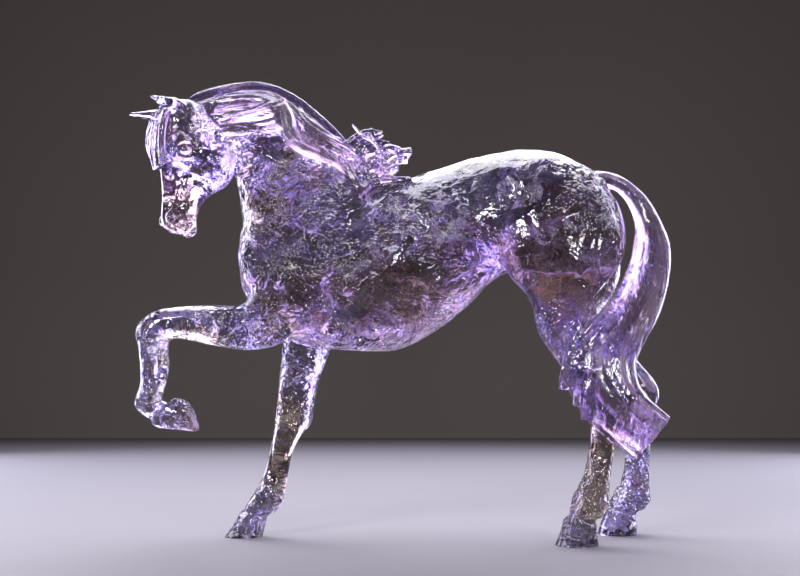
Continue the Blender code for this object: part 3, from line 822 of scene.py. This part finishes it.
SWEPT = [
    Lock([(-66, 277), (-61.6, 268), (-51, 259.5), (-36, 255.4), (-18, 252.3), (-10.4, 249.6)],
         2.6, 3.4, (0.6, 1, 1, 1, 0.8, 0.5)),
    Lock([(-65, 268), (-57.4, 259.5), (-42.4, 252.7), (-26, 248.4), (-10.4, 244.5)],
         2.6, 3.4, (0.8, 1, 1, 1, 0.7)),
    Lock([(-63, 260), (-52, 251.5), (-36, 245.5), (-22, 242), (-11, 239.5)],
         2.4, 3.4, (0.8, 1, 1, 1, 0.7)),
    Lock([(-41, 242), (-34, 235), (-29, 225), (-26.5, 214.5)], 3.8, 3.0, (0.9, 1, 0.8, 0.15)),
    Lock([(-12, 238), (-18, 230), (-23, 222), (-26.5, 214.5)], 3.4, 3.0, (0.9, 1, 0.8, 0.15)),
]
print(len(BANDS) + len(SHEET) + 1 + len(SWEPT), "locks on either side")

# %% [markdown]
# ## Laying the mane
#
# A search tree over the body lets a ray from the side find the neck under each point of a path. The
# ridge of the mane and the locks that stand clear over the withers are given in full.

# %% Laying the mane
RIDGE = Lock(
    [(-140, -21, 276), (-131, -17, 282), (-115, -14, 287), (-97, -11, 290.5), (-84, -9, 288.5),
     (-71, -7, 282.5), (-58, -5, 273.5), (-46, -4, 263.5), (-34, -3, 251.5), (-24, -2, 242)],
    6.5, 5.5, (0.6, 0.9, 1, 1, 1, 1, 0.9, 0.8, 0.6, 0.4),
)
LOOSE = [
    Lock([(-27, -7, 231), (-17, -8, 236), (-9, -7, 242), (-2, -6, 247), (8, -5, 248.5)],
         5.5, 4.5, (0.8, 0.8, 0.8, 0.9, 1)),
    Lock([(-17, -12, 238), (-14, -13, 246), (-7, -14, 250.5), (0, -13, 248), (0, -12, 241)],
         2.2, 2.4, (1, 1, 1, 1, 0.6)),
    Lock([(-25, -13, 228), (-14, -13, 231), (-7, -12, 235), (-1, -11, 239)],
         3.2, 2.6, (1, 1, 1, 0.9)),
    Lock([(-27, -15, 224), (-16, -14, 227.5), (-4, -12, 229.5), (7, -11, 230)],
         2.4, 3.2, (1, 1, 1, 0.9)),
    Lock([(-28, -18, 219), (-18, -17, 222), (-8, -15, 224), (3, -13, 225)],
         2.4, 3.2, (1, 1, 1, 0.9)),
]

# the twisted lock takes the palest tone, a painted highlight
# locks, tone, strands in each, and how far each stands proud of the neck
LAID = [(BANDS, 0.9, 1, 0), (SHEET, 0.7, 2, 0), ([TWIST], 1.0, 2, 1.5), (SWEPT, 0.75, 3, 1.5)]
neck_skin = skin_tree(body)
mane = strands_of(RIDGE, (0, 0, 1), 0.3, 5)
for lock, tone, count in zip(LOOSE, (0.75, 0.5, 0.6, 0.55, 0.6), (3, 1, 2, 2, 2)):
    mane += strands_of(lock, (0, -1, 0), tone, count)
for side in (LEFT, RIGHT):
    for locks, tone, count, proud in LAID:
        for lock in locks:
            on_neck = lock._replace(path=laid(lock.path, neck_skin, side, proud))
            mane += strands_of(on_neck, (0, side, 0.3), tone, count)
print("the mane has", len(mane), "strands")

# %% [markdown]
# ## Wisps
#
# A few hairs stand up from the end of the mane, above the withers, and dark fluffy ones lie behind
# them.

# %% Wisps
WISPS = [
    Lock([(-32, -8, 269), (-25, -10, 261), (-18, -12, 256), (-14, -13, 250), (-12, -14, 243),
          (-12, -14, 237)], 1.0, 1.0, (0.6, 1, 1, 1, 1, 1)),
    Lock([(-19, -4, 268), (-20, -6, 262), (-16, -9, 255), (-12, -11, 246)],
         0.9, 0.9, (0.6, 1, 1, 1)),
]
TUFT = [
    Lock([(-37, -7, 247), (-31, -5, 256), (-22, -3, 262), (-11, -1, 264)],
         5.2, 3.0, (0.8, 1, 1, 0.5)),
    Lock([(-32, -6, 244), (-23, -4, 252), (-14, -2, 256), (-6, 0, 257)],
         4.2, 3.0, (0.8, 1, 1, 0.5)),
]
wisps = []
for lock in WISPS:
    wisps += strands_of(lock, (0, -1, 0), 0.8, 1)
for lock in TUFT:
    wisps += strands_of(lock, (0, -1, 0), 0.1, 6)
print(len(wisps), "wisps")

# %% [markdown]
# ## One block of crystal
#
# Everything is fused again on a finer grid. Before that we keep a copy of the hair's own skin, so
# that each point of the finished horse can be told how close it lies to hair.

# %% One block of crystal
def tree_of(forms):
    """A search tree over the skins of several forms, and the number of each face's form."""
    corners, faces, owners = [], [], []
    for number, form in enumerate(forms):
        start = len(corners)
        form.verts.index_update()
        corners += [vert.co.copy() for vert in form.verts]
        faces += [[start + vert.index for vert in face.verts] for face in form.faces]
        owners += [number] * len(form.faces)
    return BVHTree.FromPolygons(corners, faces), owners


SADDLE_TONE = 0.45
hair_forms = forelock + tail + mane + wisps + [(loft(CAP), SADDLE_TONE)]
strands = [form for form, tone in hair_forms]
hair_skin, strand_at = tree_of(strands)
horse = join("carved_horse", [taken_out(body), *head_forms, *hooves, *strands])
HORSE_GRAIN, HORSE_SMOOTHING = 0.8, 1
fuse(horse, HORSE_GRAIN, HORSE_SMOOTHING)
print("the carved horse has", len(horse.data.polygons), "faces")

# %% [markdown]
# ## Air pockets
#
# Where forms meet, a small hollow can be shut in between them. It would show in clear crystal as a
# bubble. So only the outer skin is kept: starting at one of its points, everything that hangs
# together with it is gathered, and the rest is deleted.

# %% Air pockets
def outer_skin_only(thing):
    """Deletes every closed skin of the object but the one around its whole outside."""
    whole = bmesh.new()
    whole.from_mesh(thing.data)
    first = max(whole.verts, key=lambda vert: vert.co.z)
    kept, waiting = {first}, [first]
    while waiting:
        for edge in waiting.pop().link_edges:
            for vert in edge.verts:
                if vert not in kept:
                    kept.add(vert)
                    waiting.append(vert)
    loose = [vert for vert in whole.verts if vert not in kept]
    bmesh.ops.delete(whole, geom=loose, context="VERTS")
    whole.to_mesh(thing.data)
    whole.free()
    return len(loose)


print("points of air pockets deleted:", outer_skin_only(horse))

# %% [markdown]
# ## Legs and hooves in line
#
# The joints of the legs are drawn last, on the fused horse, because the marks cross from the
# pasterns to the hooves: the crease over each fetlock, the spur behind it, the groove of the
# coronet, and the tendons down the cannons. The same marks serve for every standing leg, moved to
# its place.

# %% Legs and hooves in line
STANDING = [
    Mark([(4, 35), (13, 32), (25, 29)], 3.4, 0.8),  # crease over the fetlock
    Mark([(24, 26), (28, 21.5)], 4.0, -1.3),  # spur behind the fetlock
    Mark([(-2, 18.5), (8, 17.5), (16, 15.5), (24, 13.5)], 2.4, 1.0),  # groove over the coronet
    Mark([(-3, 14), (8, 13.2), (18, 11)], 2.2, -0.6),  # rim of the hoof
    Mark([(22, 78), (21, 62), (20, 48), (20, 38)], 2.4, 0.7),  # tendon groove
]
leg_marks = []
for shift in (100, 136.5, -104):
    leg_marks += [mark._replace(path=[(x + shift, z) for x, z in mark.path]) for mark in STANDING]
leg_marks += [
    Mark([(-152.5, 73), (-146, 80), (-139.5, 87.5)], 2.4, 1.0),  # coronet of the raised hoof
    Mark([(-160, 86), (-152, 87), (-146, 88)], 3.0, 0.8),  # crease over its fetlock
    Mark([(-149, 118), (-148.5, 108), (-149, 96)], 2.2, 0.9),  # tendon of the raised leg
    Mark([(-146, 122), (-154, 124), (-162, 127)], 2.6, 0.6),  # below its knee
]
chisel(horse, leg_marks)
print(len(leg_marks), "marks on the legs")

# %% [markdown]
# ## Hand-carved ripple
#
# No hand polishes crystal dead true. A faint ripple in the skin, under half a millimetre high and a
# little over a centimetre long, bends the light that passes through and breaks up the reflections.
# The hair stays crisp: how much of a point counts as hair falls from all to nothing over the first
# millimetre and a half from the nearest strand.

# %% Hand-carved ripple
HAIR_REACH = 1.6
HAIR_CALM = 0.85


def hair_share(place):
    """1 on hair, falling to 0 at HAIR_REACH millimetres from it."""
    gap = hair_skin.find_nearest(place)[3] / MM
    return min(max(HAIR_REACH - gap, 0.0), 1.0)


def ripple(thing, height, length):
    """Moves each point of the skin in or out by a smooth noise, but little on hair."""
    places, outward = points_of(thing)
    waves = np.array([noise.noise(Vector(place) / length) for place in places])
    calm = np.array([1 - HAIR_CALM * hair_share(Vector(place) * MM) for place in places])
    move_out(thing, places, outward, height * waves * calm)


RIPPLE_HEIGHT, RIPPLE_LENGTH = 0.5, 13
ripple(horse, RIPPLE_HEIGHT, RIPPLE_LENGTH)
print("rippled", len(horse.data.vertices), "points")

# %% [markdown]
# ## Fewer faces
#
# A fine grid spends as many faces on a smooth flank as on an eyelid. The Decimate modifier takes
# them away where the skin is flat, down to what an exported piece may have. Then the feet are sawn
# flat at the ground.

# %% Fewer faces
def thinned(thing, count):
    """Cuts the object's skin down to about count triangles."""
    decimate = thing.modifiers.new("thin", "DECIMATE")
    decimate.ratio = count / (2 * len(thing.data.polygons))
    decimate.use_collapse_triangulate = True
    settled(thing)


def saw_flat(thing):
    """Saws the object off at the ground, which leaves a flat sole under each standing hoof."""
    sawn = bmesh.new()
    sawn.from_mesh(thing.data)
    whole = sawn.verts[:] + sawn.edges[:] + sawn.faces[:]
    cut = bmesh.ops.bisect_plane(
        sawn, geom=whole, plane_co=(0, 0, 0), plane_no=(0, 0, -1), clear_outer=True)
    rims = [item for item in cut["geom_cut"] if isinstance(item, bmesh.types.BMEdge)]
    bmesh.ops.holes_fill(sawn, edges=rims, sides=0)
    bmesh.ops.triangulate(sawn, faces=[face for face in sawn.faces if len(face.verts) > 3])
    sawn.to_mesh(thing.data)
    sawn.free()


TRIANGLES = 190000
thinned(horse, TRIANGLES)
saw_flat(horse)
print("the horse has", len(horse.data.polygons), "triangles")

# %% [markdown]
# ## Where the hair is
#
# The finish of hair differs from that of the body. An attribute called hair holds a share from 0 to
# 1 at every point, and one called strand holds a tone between 0 and 1 that differs from strand to
# strand. A third one, tail, tells the hair of the tail, which hangs, from that of the mane, which
# lies level. The material reads all three.

# %% Where the hair is
def keep(thing, name, values):
    """Keeps a number for each point of the object's skin, as an attribute."""
    thing.data.attributes.new(name, "FLOAT", "POINT").data.foreach_set("value", values)


shares = [hair_share(vert.co) for vert in horse.data.vertices]
nearest = [strand_at[hair_skin.find_nearest(vert.co)[2]] for vert in horse.data.vertices]
tones = [hair_forms[number][1] for number in nearest]
on_tail = [len(forelock) <= number < len(forelock) + len(tail) for number in nearest]
keep(horse, "hair", shares)
keep(horse, "strand", tones)
keep(horse, "tail", on_tail)
print("hair covers", round(100 * sum(shares) / len(shares)), "percent of the points")

# %% [markdown]
# ## Where painted shade and highlights gather
#
# A smoky brown gathers in the rump, the chest, the lower barrel and the legs: painted shade, where
# the crystal shows its dark surroundings through it. Pale lavender along the back and the belly is
# a painted highlight, and painted white glints gather over the neck, the barrel and the thigh. Each
# pool is an ellipse in side view, given by its middle and how far it reaches each way. One
# attribute for each kind of pool holds how deep in a pool a point lies.

# %% Where painted shade and highlights gather
Pool = namedtuple("Pool", "x z reach_x reach_z")
# pools of painted shade: smoky brown where the crystal shows its dark surroundings
SHADE_POOLS = [
    Pool(107, 174, 38, 36),  # rump
    Pool(20, 154, 50, 22),  # lower barrel
    Pool(-22, 160, 34, 22),
    Pool(-71, 160, 28, 20),  # chest
    Pool(-88, 205, 22, 16),
    Pool(-74, 55, 15, 50),  # standing foreleg
    Pool(-128, 118, 28, 20),  # raised foreleg
    Pool(118, 48, 19, 44),  # near hind leg
]
# pools of painted highlight: pale lavender where the back and the belly catch bright rims
HIGHLIGHT_POOLS = [
    Pool(-45, 119, 62, 13),  # belly
    Pool(5, 119, 58, 14),
    Pool(50, 140, 42, 15),
    Pool(22, 218, 60, 20),  # back
    Pool(-40, 207, 32, 17),
]
# pools where painted white glints gather
GLINT_POOLS = [
    Pool(-72, 197, 13, 12),  # neck
    Pool(-80, 143, 16, 14),  # breast
    Pool(-33, 157, 18, 23),  # barrel
    Pool(6, 139, 23, 13),
    Pool(27, 200, 23, 19),
    Pool(75, 218, 16, 13),  # croup and thigh
    Pool(80, 167, 11, 9),
    Pool(105, 180, 12, 6),
    Pool(99, 134, 12, 18),
]


def gathered(places, pools):
    """How deep each point lies in one of the pools, from 0 at the rim to 1 in the middle."""
    depth = np.zeros(len(places))
    for pool in pools:
        along = (places[:, 0] - pool.x) / pool.reach_x
        up = (places[:, 2] - pool.z) / pool.reach_z
        depth = np.maximum(depth, 1 - (along**2 + up**2))
    return depth


places = points_of(horse)[0]
for name, pools in (("painted_shade", SHADE_POOLS), ("pale", HIGHLIGHT_POOLS), ("glint_pool", GLINT_POOLS)):
    depth = gathered(places, pools)
    keep(horse, name, depth)
    print(name, "covers", round(100 * np.mean(depth > 0)), "percent of the points")

# %% [markdown]
# ## In its place
#
# The points of the horse move to where the plain solid stands, while the object itself stays at the
# origin, unturned and unscaled. Then the light may run smoothly from face to face.

# %% In its place
horse.data.transform(Matrix.Translation(-MIDDLE))
horse.data.shade_smooth()
print("the soles stand at", round(min(vert.co.z for vert in horse.data.vertices), 6), "m")

# %% [markdown]
# ## Crystal
#
# Crystal is seen only by what it bends and mirrors. The shader is clear all through, with the
# refraction of glass and a high polish. These are plain values on the shader's own sockets. What
# varies over the horse is built from nodes in the next cells, one thing at a time.

# %% A clear shader
finish = bpy.data.materials.new("amethyst crystal")
finish.use_nodes = True
tree = finish.node_tree
link = tree.links.new
shader = tree.nodes["Principled BSDF"]
shader.inputs["IOR"].default_value = 1.52
shader.inputs["Transmission Weight"].default_value = 0.98
shader.inputs["Sheen Weight"].default_value = 0.06
shader.inputs["Sheen Roughness"].default_value = 0.35
shader.inputs["Sheen Tint"].default_value = (0.74, 0.68, 1.0, 1)


def add(kind, **settings):
    """A node of that kind in the finish, with some of its sockets or properties set."""
    node = tree.nodes.new(kind)
    for name, value in settings.items():
        socket = node.inputs.get(name.replace("_", " "))
        if socket is None:
            setattr(node, name, value)
        else:
            socket.default_value = value
    return node


coordinates = add("ShaderNodeTexCoord").outputs["Object"]
# three of these attributes hold the pools of painted shade, painted highlight and painted white
# glints
hair, strand_tone, on_tail, painted_shade, pale, glint_pool = (
    add("ShaderNodeAttribute", attribute_name=name).outputs["Fac"]
    for name in ("hair", "strand", "tail", "painted_shade", "pale", "glint_pool")
)
print("refraction", shader.inputs["IOR"].default_value)

# %% [markdown]
# ## Noise and sums
#
# Most of what varies comes from smooth noise, which is read on the horse's own coordinates and so
# stays on the horse wherever it goes. A few short helpers make the nodes: one for noise, one that
# stretches a range of values, and one for each kind of sum.

# %% Noise and sums
def noise_of(where, scale, detail, distortion=0.0, roughness=0.5):
    """The outputs of a smooth noise on the coordinates in where, scale lumps to the metre."""
    node = add("ShaderNodeTexNoise", Scale=scale, Detail=detail)
    node.inputs["Distortion"].default_value = distortion
    node.inputs["Roughness"].default_value = roughness
    link(where, node.inputs["Vector"])
    return node.outputs


def cloud(scale, detail, distortion=0.0, roughness=0.55):
    """Smooth noise on the horse's own coordinates, which keeps near 0.5."""
    return noise_of(coordinates, scale, detail, distortion, roughness)["Fac"]


def remapped(value, low, high, to_low=0.0, to_high=1.0):
    """The value stretched from the range low to high, to another range, and held inside it."""
    node = add("ShaderNodeMapRange", clamp=True)
    for socket, number in zip(node.inputs[1:5], (low, high, to_low, to_high)):
        socket.default_value = number
    link(value, node.inputs["Value"])
    return node.outputs["Result"]


def worked_out(operation, first, second):
    """What an operation makes of two values, each of them a number or a node's output."""
    node = add("ShaderNodeMath", operation=operation)
    for socket, value in zip(node.inputs, (first, second)):
        if isinstance(value, (int, float)):
            socket.default_value = value
        else:
            link(value, socket)
    return node.outputs["Value"]


plus = partial(worked_out, "ADD")
minus = partial(worked_out, "SUBTRACT")
times = partial(worked_out, "MULTIPLY")
over = partial(worked_out, "DIVIDE")
to_power = partial(worked_out, "POWER")

patches = cloud(42, 4, 1.0)
wander = times(minus(patches, 0.5), 1.6)
print("the noise of the patches is made with", len(tree.nodes), "nodes in all")

# %% [markdown]
# ## Tint
#
# The colour of the block isn't even. It wanders from smoky brown through plum and violet to pale
# lavender, and to a touch of olive. A colour ramp holds those stops, and noise picks the place on
# it.

# %% Tint
def colours(value, stops):
    """A colour for each value, eased between stops of (position, colour)."""
    node = add("ShaderNodeValToRGB")
    band = node.color_ramp
    while len(band.elements) < len(stops):
        band.elements.new(0.5)
    for element, (position, colour) in zip(band.elements, stops):
        element.position = position
        element.color = (*colour, 1)
    link(value, node.inputs["Fac"])
    return node.outputs["Color"]


broad_drift = times(minus(cloud(9, 2), 0.5), 0.35)
body_tint = colours(plus(cloud(24, 4, 1.2), broad_drift), [
    (0.38, (0.46, 0.34, 0.33)),
    (0.44, (0.52, 0.36, 0.48)),
    (0.49, (0.46, 0.42, 0.96)),
    (0.53, (0.86, 0.80, 1.00)),
    (0.57, (0.52, 0.44, 0.92)),
    (0.63, (0.42, 0.38, 0.29)),
])
print("the tint of the body has", len(body_tint.node.color_ramp.elements), "stops")

# %% [markdown]
# ## Painted shade and highlight
#
# The pools of painted shade, in smoky brown, and of painted highlight, in pale lavender, lie over
# that. Noise is added to the depth of each pool before it is cut off, which gives it a ragged rim
# and islands.

# %% Painted shade and highlight
def mixed(share, first, second):
    """The colour first where share is 0, and second, which may be plain, where share is 1."""
    node = add("ShaderNodeMix", data_type="RGBA")
    link(share, node.inputs[0])
    link(first, node.inputs[6])
    if isinstance(second, tuple):
        node.inputs[7].default_value = (*second, 1)
    else:
        link(second, node.inputs[7])
    return node.outputs[2]


# the colours of the painted shade, smoky browns laid over the rump, chest, lower barrel and legs
shade_browns = colours(patches, [
    (0.42, (0.42, 0.32, 0.23)),
    (0.50, (0.52, 0.48, 0.23)),
    (0.58, (0.54, 0.41, 0.42)),
])
body_tint = mixed(remapped(plus(painted_shade, wander), 0.10, 0.45, 0.0, 0.88), body_tint, shade_browns)
# the painted highlight, pale lavender laid along the back and the belly
highlight_lavender = colours(patches, [(0.44, (0.66, 0.65, 1.0)), (0.54, (0.92, 0.91, 1.0))])
body_tint = mixed(remapped(plus(pale, wander), 0.10, 0.40, 0.0, 0.88), body_tint, highlight_lavender)
print("smoke and lavender bring the finish to", len(tree.nodes), "nodes")

# %% [markdown]
# ## Streaks in the hair
#
# Combed hair shows fine streaks along its locks. In the tail they hang, so a Mapping node draws
# noise out downwards. In the mane they follow the bow of the neck, so the noise is read round a
# point in the neck: fine across the rings, and slow along them.

# %% Streaks in the hair
def mapped(centre=(0, 0, 0), turn=0, size=(1, 1, 1)):
    """The horse's coordinates counted from centre, in steps of size, leaned by turn degrees."""
    node = add("ShaderNodeMapping", vector_type="TEXTURE", Location=centre, Scale=size)
    node.inputs["Rotation"].default_value = (0, math.radians(turn), 0)
    link(coordinates, node.inputs["Vector"])
    return node.outputs["Vector"]


def ringed(centre, width, length):
    """Coordinates round centre: the first counts widths outwards, the others lengths along."""
    split = add("ShaderNodeSeparateXYZ")
    link(mapped(centre), split.inputs["Vector"])
    x, y, z = split.outputs
    joined = add("ShaderNodeCombineXYZ")
    away = to_power(plus(to_power(x, 2), to_power(z, 2)), 0.5)
    for value, socket in zip((over(away, width), over(x, length), over(y, length)), joined.inputs):
        link(value, socket)
    return joined.outputs["Vector"]


TAIL_LEAN = 12
TAIL_STREAK = (0.0035, 0.0035, 0.032)
BOW_CENTRE = Vector((-91, 0, 190)) * MM - MIDDLE
MANE_STREAK = (0.0026, 0.030)
hanging = noise_of(mapped(turn=TAIL_LEAN, size=TAIL_STREAK), 1.0, 4)["Fac"]
lying = noise_of(ringed(BOW_CENTRE, *MANE_STREAK), 1.0, 4)["Fac"]
choice = add("ShaderNodeMix", data_type="FLOAT")
for number, value in ((0, on_tail), (2, lying), (3, hanging)):
    link(value, choice.inputs[number])
streaks = choice.outputs[0]
print("the streaks bring the finish to", len(tree.nodes), "nodes")

# %% [markdown]
# ## Tint of the hair
#
# Each strand of hair has a tone of its own, from dark violet to a pale pink, because the attribute
# called strand holds one number for each of them. The streaks add to it, and here and there turn it
# mauve. The tail is a little darker than the mane.

# %% Tint of the hair
centred = minus(streaks, plus(times(on_tail, 0.10), 0.5))
tone = plus(strand_tone, centred)
hair_tint = colours(tone, [
    (0.02, (0.24, 0.18, 0.42)),
    (0.18, (0.50, 0.41, 0.88)),
    (0.40, (0.66, 0.55, 1.00)),
    (0.70, (0.92, 0.74, 1.00)),
    (1.00, (1.00, 0.93, 1.00)),
])
mauve = colours(tone, [(0.2, (0.52, 0.36, 0.52)), (0.9, (0.90, 0.62, 0.80))])
hair_tint = mixed(remapped(streaks, 0.52, 0.60), hair_tint, mauve)
print("the tint of the hair brings the finish to", len(tree.nodes), "nodes")

# %% [markdown]
# ## Frosted flecks and painted glints
#
# White flecks with jagged edges drift over the neck, the barrel and the thighs. Their white is a
# painted highlight, glints of the lights painted into the colour; the polish taken off them is real
# frost. The flecks are the peaks of a rough noise, cut off sharply, and an attribute says where
# they gather. A fleck takes the violet out of the skin, painting it white, and the polish off it.

# %% Frosted flecks and painted glints
peaks = remapped(cloud(75, 5, 0.9, 0.70), 0.535, 0.550)
in_glint_pools = remapped(plus(glint_pool, wander), 0.12, 0.18)
off_hair = remapped(hair, 0.0, 0.6, 1.0, 0.0)
frost_and_glints = times(times(peaks, in_glint_pools), off_hair)
# painted highlight: the flecks turn white, as glints of the lights would
body_tint = mixed(frost_and_glints, body_tint, (1.0, 0.97, 1.0))
link(mixed(hair, body_tint, hair_tint), shader.inputs["Base Color"])
print("the flecks bring the finish to", len(tree.nodes), "nodes")

# %% [markdown]
# ## Polish
#
# Polish isn't even either. Most of the skin is bright, misty veils lie over parts of the body, and
# the milky strands of hair are left duller, because no wheel reaches between them.

# %% Polish
veils = remapped(cloud(17, 3, 0.6), 0.56, 0.70, 0.0, 0.07)
milky = plus(remapped(tone, 0.30, 1.0, 0.02, 0.22), times(on_tail, 0.04))
dulled = times(hair, milky)
frosted = times(frost_and_glints, 0.20)
link(plus(plus(veils, dulled), frosted), shader.inputs["Roughness"])
print("the polish brings the finish to", len(tree.nodes), "nodes")

# %% [markdown]
# ## Waves and facets
#
# Crystal breaks in shells and flats. Under the polish the chisel has left long waves, and in some
# fields flat facets with jagged edges that throw sparks. In the white flecks they are steeper. The
# Voronoi texture cuts space into cells with a random colour each, and that colour is used as the
# slope of a flat. Before that, noise is added to the coordinates, so that the cells get ragged
# edges. All of it is height for a bump, which tilts the skin without moving it.

# %% Waves and facets
HALF = (0.5, 0.5, 0.5)


def vectors(operation, first, second, output="Vector"):
    """What an operation makes of two vectors, each of them plain or a node's output."""
    node = add("ShaderNodeVectorMath", operation=operation)
    for socket, value in zip(node.inputs, (first, second)):
        if isinstance(value, tuple):
            socket.default_value = value
        else:
            link(value, socket)
    return node.outputs[output]


def either_way(value, reach):
    """A vector between 0 and 1 stretched to run from -reach to reach."""
    return vectors("MULTIPLY", vectors("SUBTRACT", value, HALF), (2 * reach,) * 3)


def ragged(scale, reach):
    """The horse's coordinates, pushed about by noise as far as reach metres."""
    push = noise_of(coordinates, scale, 3, roughness=0.62)["Color"]
    return vectors("ADD", coordinates, either_way(push, reach))


def facets(where, scale, slope):
    """Height of flats with ragged edges, scale of them to the metre, each tilted its own way."""
    cells = add("ShaderNodeTexVoronoi", Scale=scale)
    link(where, cells.inputs["Vector"])
    across = vectors("SUBTRACT", where, cells.outputs["Position"])
    return vectors("DOT_PRODUCT", across, either_way(cells.outputs["Color"], slope), "Value")


fields = remapped(cloud(19, 2, 0.4), 0.47, 0.58, 0.07, 1.0)
broad = facets(ragged(80, 0.012), 75, 0.55)
small = facets(ragged(150, 0.007), 150, 0.50)
broken = times(plus(broad, small), fields)
waves = times(cloud(48, 3, 0.5), 1.3 * MM)
on_body = times(plus(waves, broken), remapped(hair, 0.0, 1.0, 1.0, 0.10))
chips = times(times(small, 1.8), frost_and_glints)
combed = times(times(streaks, 1.0 * MM), hair)
bump = add("ShaderNodeBump", Strength=1.0, Distance=1.0)
link(plus(on_body, plus(combed, chips)), bump.inputs["Height"])
link(bump.outputs["Normal"], shader.inputs["Normal"])
print("the finish has", len(tree.nodes), "nodes")

# %% [markdown]
# ## Depth of colour
#
# Where light has a long way to go through the block, more of it is lost, and green is lost first.
# So a leg stays clear and the chest goes to a dark plum. Plain absorption in the volume does this.

# %% Depth of colour
inside = add("ShaderNodeVolumeAbsorption", Color=(0.59, 0.50, 0.65, 1), Density=48.0)
link(inside.outputs["Volume"], tree.nodes["Material Output"].inputs["Volume"])
print("density of the colour", inside.inputs["Density"].default_value)

# %% [markdown]
# ## On the frame
#
# The carved horse stands for the plain solid, rides on the one body of the frame, and takes the
# crystal finish.

# %% On the frame
horse.data.materials.clear()
horse.data.materials.append(finish)
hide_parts("crystal_horse")
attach(horse, "root")
print("finish:", horse.data.materials[0].name)

# %% [markdown]
# ## The table and the wall
#
# The horse stands on a pale, plain floor in front of a dim, plain wall. A clear thing shows what is
# around it, so a dim wall with bright panels out of sight gives it a dark heart and bright edges.

# %% The table and the wall
def plain(name, colour, roughness):
    """A plain matt finish for the surroundings."""
    material = bpy.data.materials.new(name)
    material.use_nodes = True
    shader = material.node_tree.nodes["Principled BSDF"]
    shader.inputs["Base Color"].default_value = colour
    shader.inputs["Roughness"].default_value = roughness
    return material


def panel(name, size, matrix, material):
    """A flat square of the surroundings, size metres long each way."""
    made = bmesh.new()
    bmesh.ops.create_grid(made, x_segments=1, y_segments=1, size=size / 2, matrix=matrix)
    mesh = bpy.data.meshes.new(name)
    made.to_mesh(mesh)
    made.free()
    mesh.materials.append(material)
    thing = bpy.data.objects.new(name, mesh)
    bpy.context.scene.collection.objects.link(thing)


WALL_AT = 2.2
STAGE_SIZE = 8.0
pale_floor = plain("pale floor", (0.13, 0.124, 0.134, 1), 0.8)
dim_wall = plain("dim wall", (0.175, 0.145, 0.132, 1), 0.9)
upright = Matrix.Translation((0, WALL_AT, 0)) @ Matrix.Rotation(math.radians(90), 4, "X")
panel("floor", STAGE_SIZE, Matrix.Identity(4), pale_floor)
panel("wall", STAGE_SIZE, upright, dim_wall)
print("floor and wall are in place")

# %% [markdown]
# ## Light
#
# Two tall panels behind the horse, one on either side of the view, light the edges of the crystal.
# A broad panel high behind it and another above it lay a white sheen on the back and the crest. Two
# small ones in front give the sparks. All of them aim at the heart of the horse, and a dim glow
# from all round fills the shadows.

# %% Light
def soft_panel(name, place, aim, width, height, power, colour=(1, 1, 1)):
    """A rectangular light of power watts at place, which faces aim."""
    data = bpy.data.lights.new(name, "AREA")
    data.shape = "RECTANGLE"
    data.size = width
    data.size_y = height
    data.energy = power
    data.color = colour
    light = bpy.data.objects.new(name, data)
    light.location = place
    light.rotation_euler = (Vector(aim) - Vector(place)).to_track_quat("-Z", "Y").to_euler()
    bpy.context.scene.collection.objects.link(light)


HEART = (0, 0, 0.16)
PALE_VIOLET = (0.80, 0.78, 1.0)
soft_panel("left edge light", (-1.0, 0.80, 0.50), HEART, 0.65, 1.0, 17, PALE_VIOLET)
soft_panel("right edge light", (1.0, 0.80, 0.50), HEART, 0.65, 1.0, 17, PALE_VIOLET)
soft_panel("high back light", (0, 1.0, 1.20), HEART, 1.6, 0.6, 38, (0.86, 0.85, 1.0))
soft_panel("top light", (0, 0.20, 1.0), HEART, 1.1, 0.6, 17, (0.95, 0.94, 1.0))
soft_panel("front light", (-0.60, -0.95, 0.70), HEART, 0.35, 0.25, 16)
soft_panel("second front light", (0.60, -1.0, 0.42), HEART, 0.36, 0.12, 7)

world = bpy.data.worlds.new("room")
world.use_nodes = True
glow = world.node_tree.nodes["Background"].inputs
glow["Color"].default_value = (0.20, 0.18, 0.23, 1)
glow["Strength"].default_value = 0.35
bpy.context.scene.world = world
bpy.context.scene.view_settings.view_transform = "Standard"

# %% [markdown]
# ## Camera
#
# The camera stands low, at the height of the knees, a little over half a metre from the horse, and
# looks slightly up. The plain lens and the tilt give the view that the horse was drawn for.

# %% Camera
view = bpy.data.cameras.new("camera")
view.lens = 40
view.sensor_width = 36
view.clip_start = 0.01
camera = bpy.data.objects.new("camera", view)
camera.location = Vector((0, -577.808, 79.737)) * MM - MIDDLE
LOOK_UP = 7.9415
camera.rotation_euler = (math.radians(90 + LOOK_UP), 0, 0)
bpy.context.scene.collection.objects.link(camera)
bpy.context.scene.camera = camera
print("the camera stands at", tuple(round(v, 3) for v in camera.location))
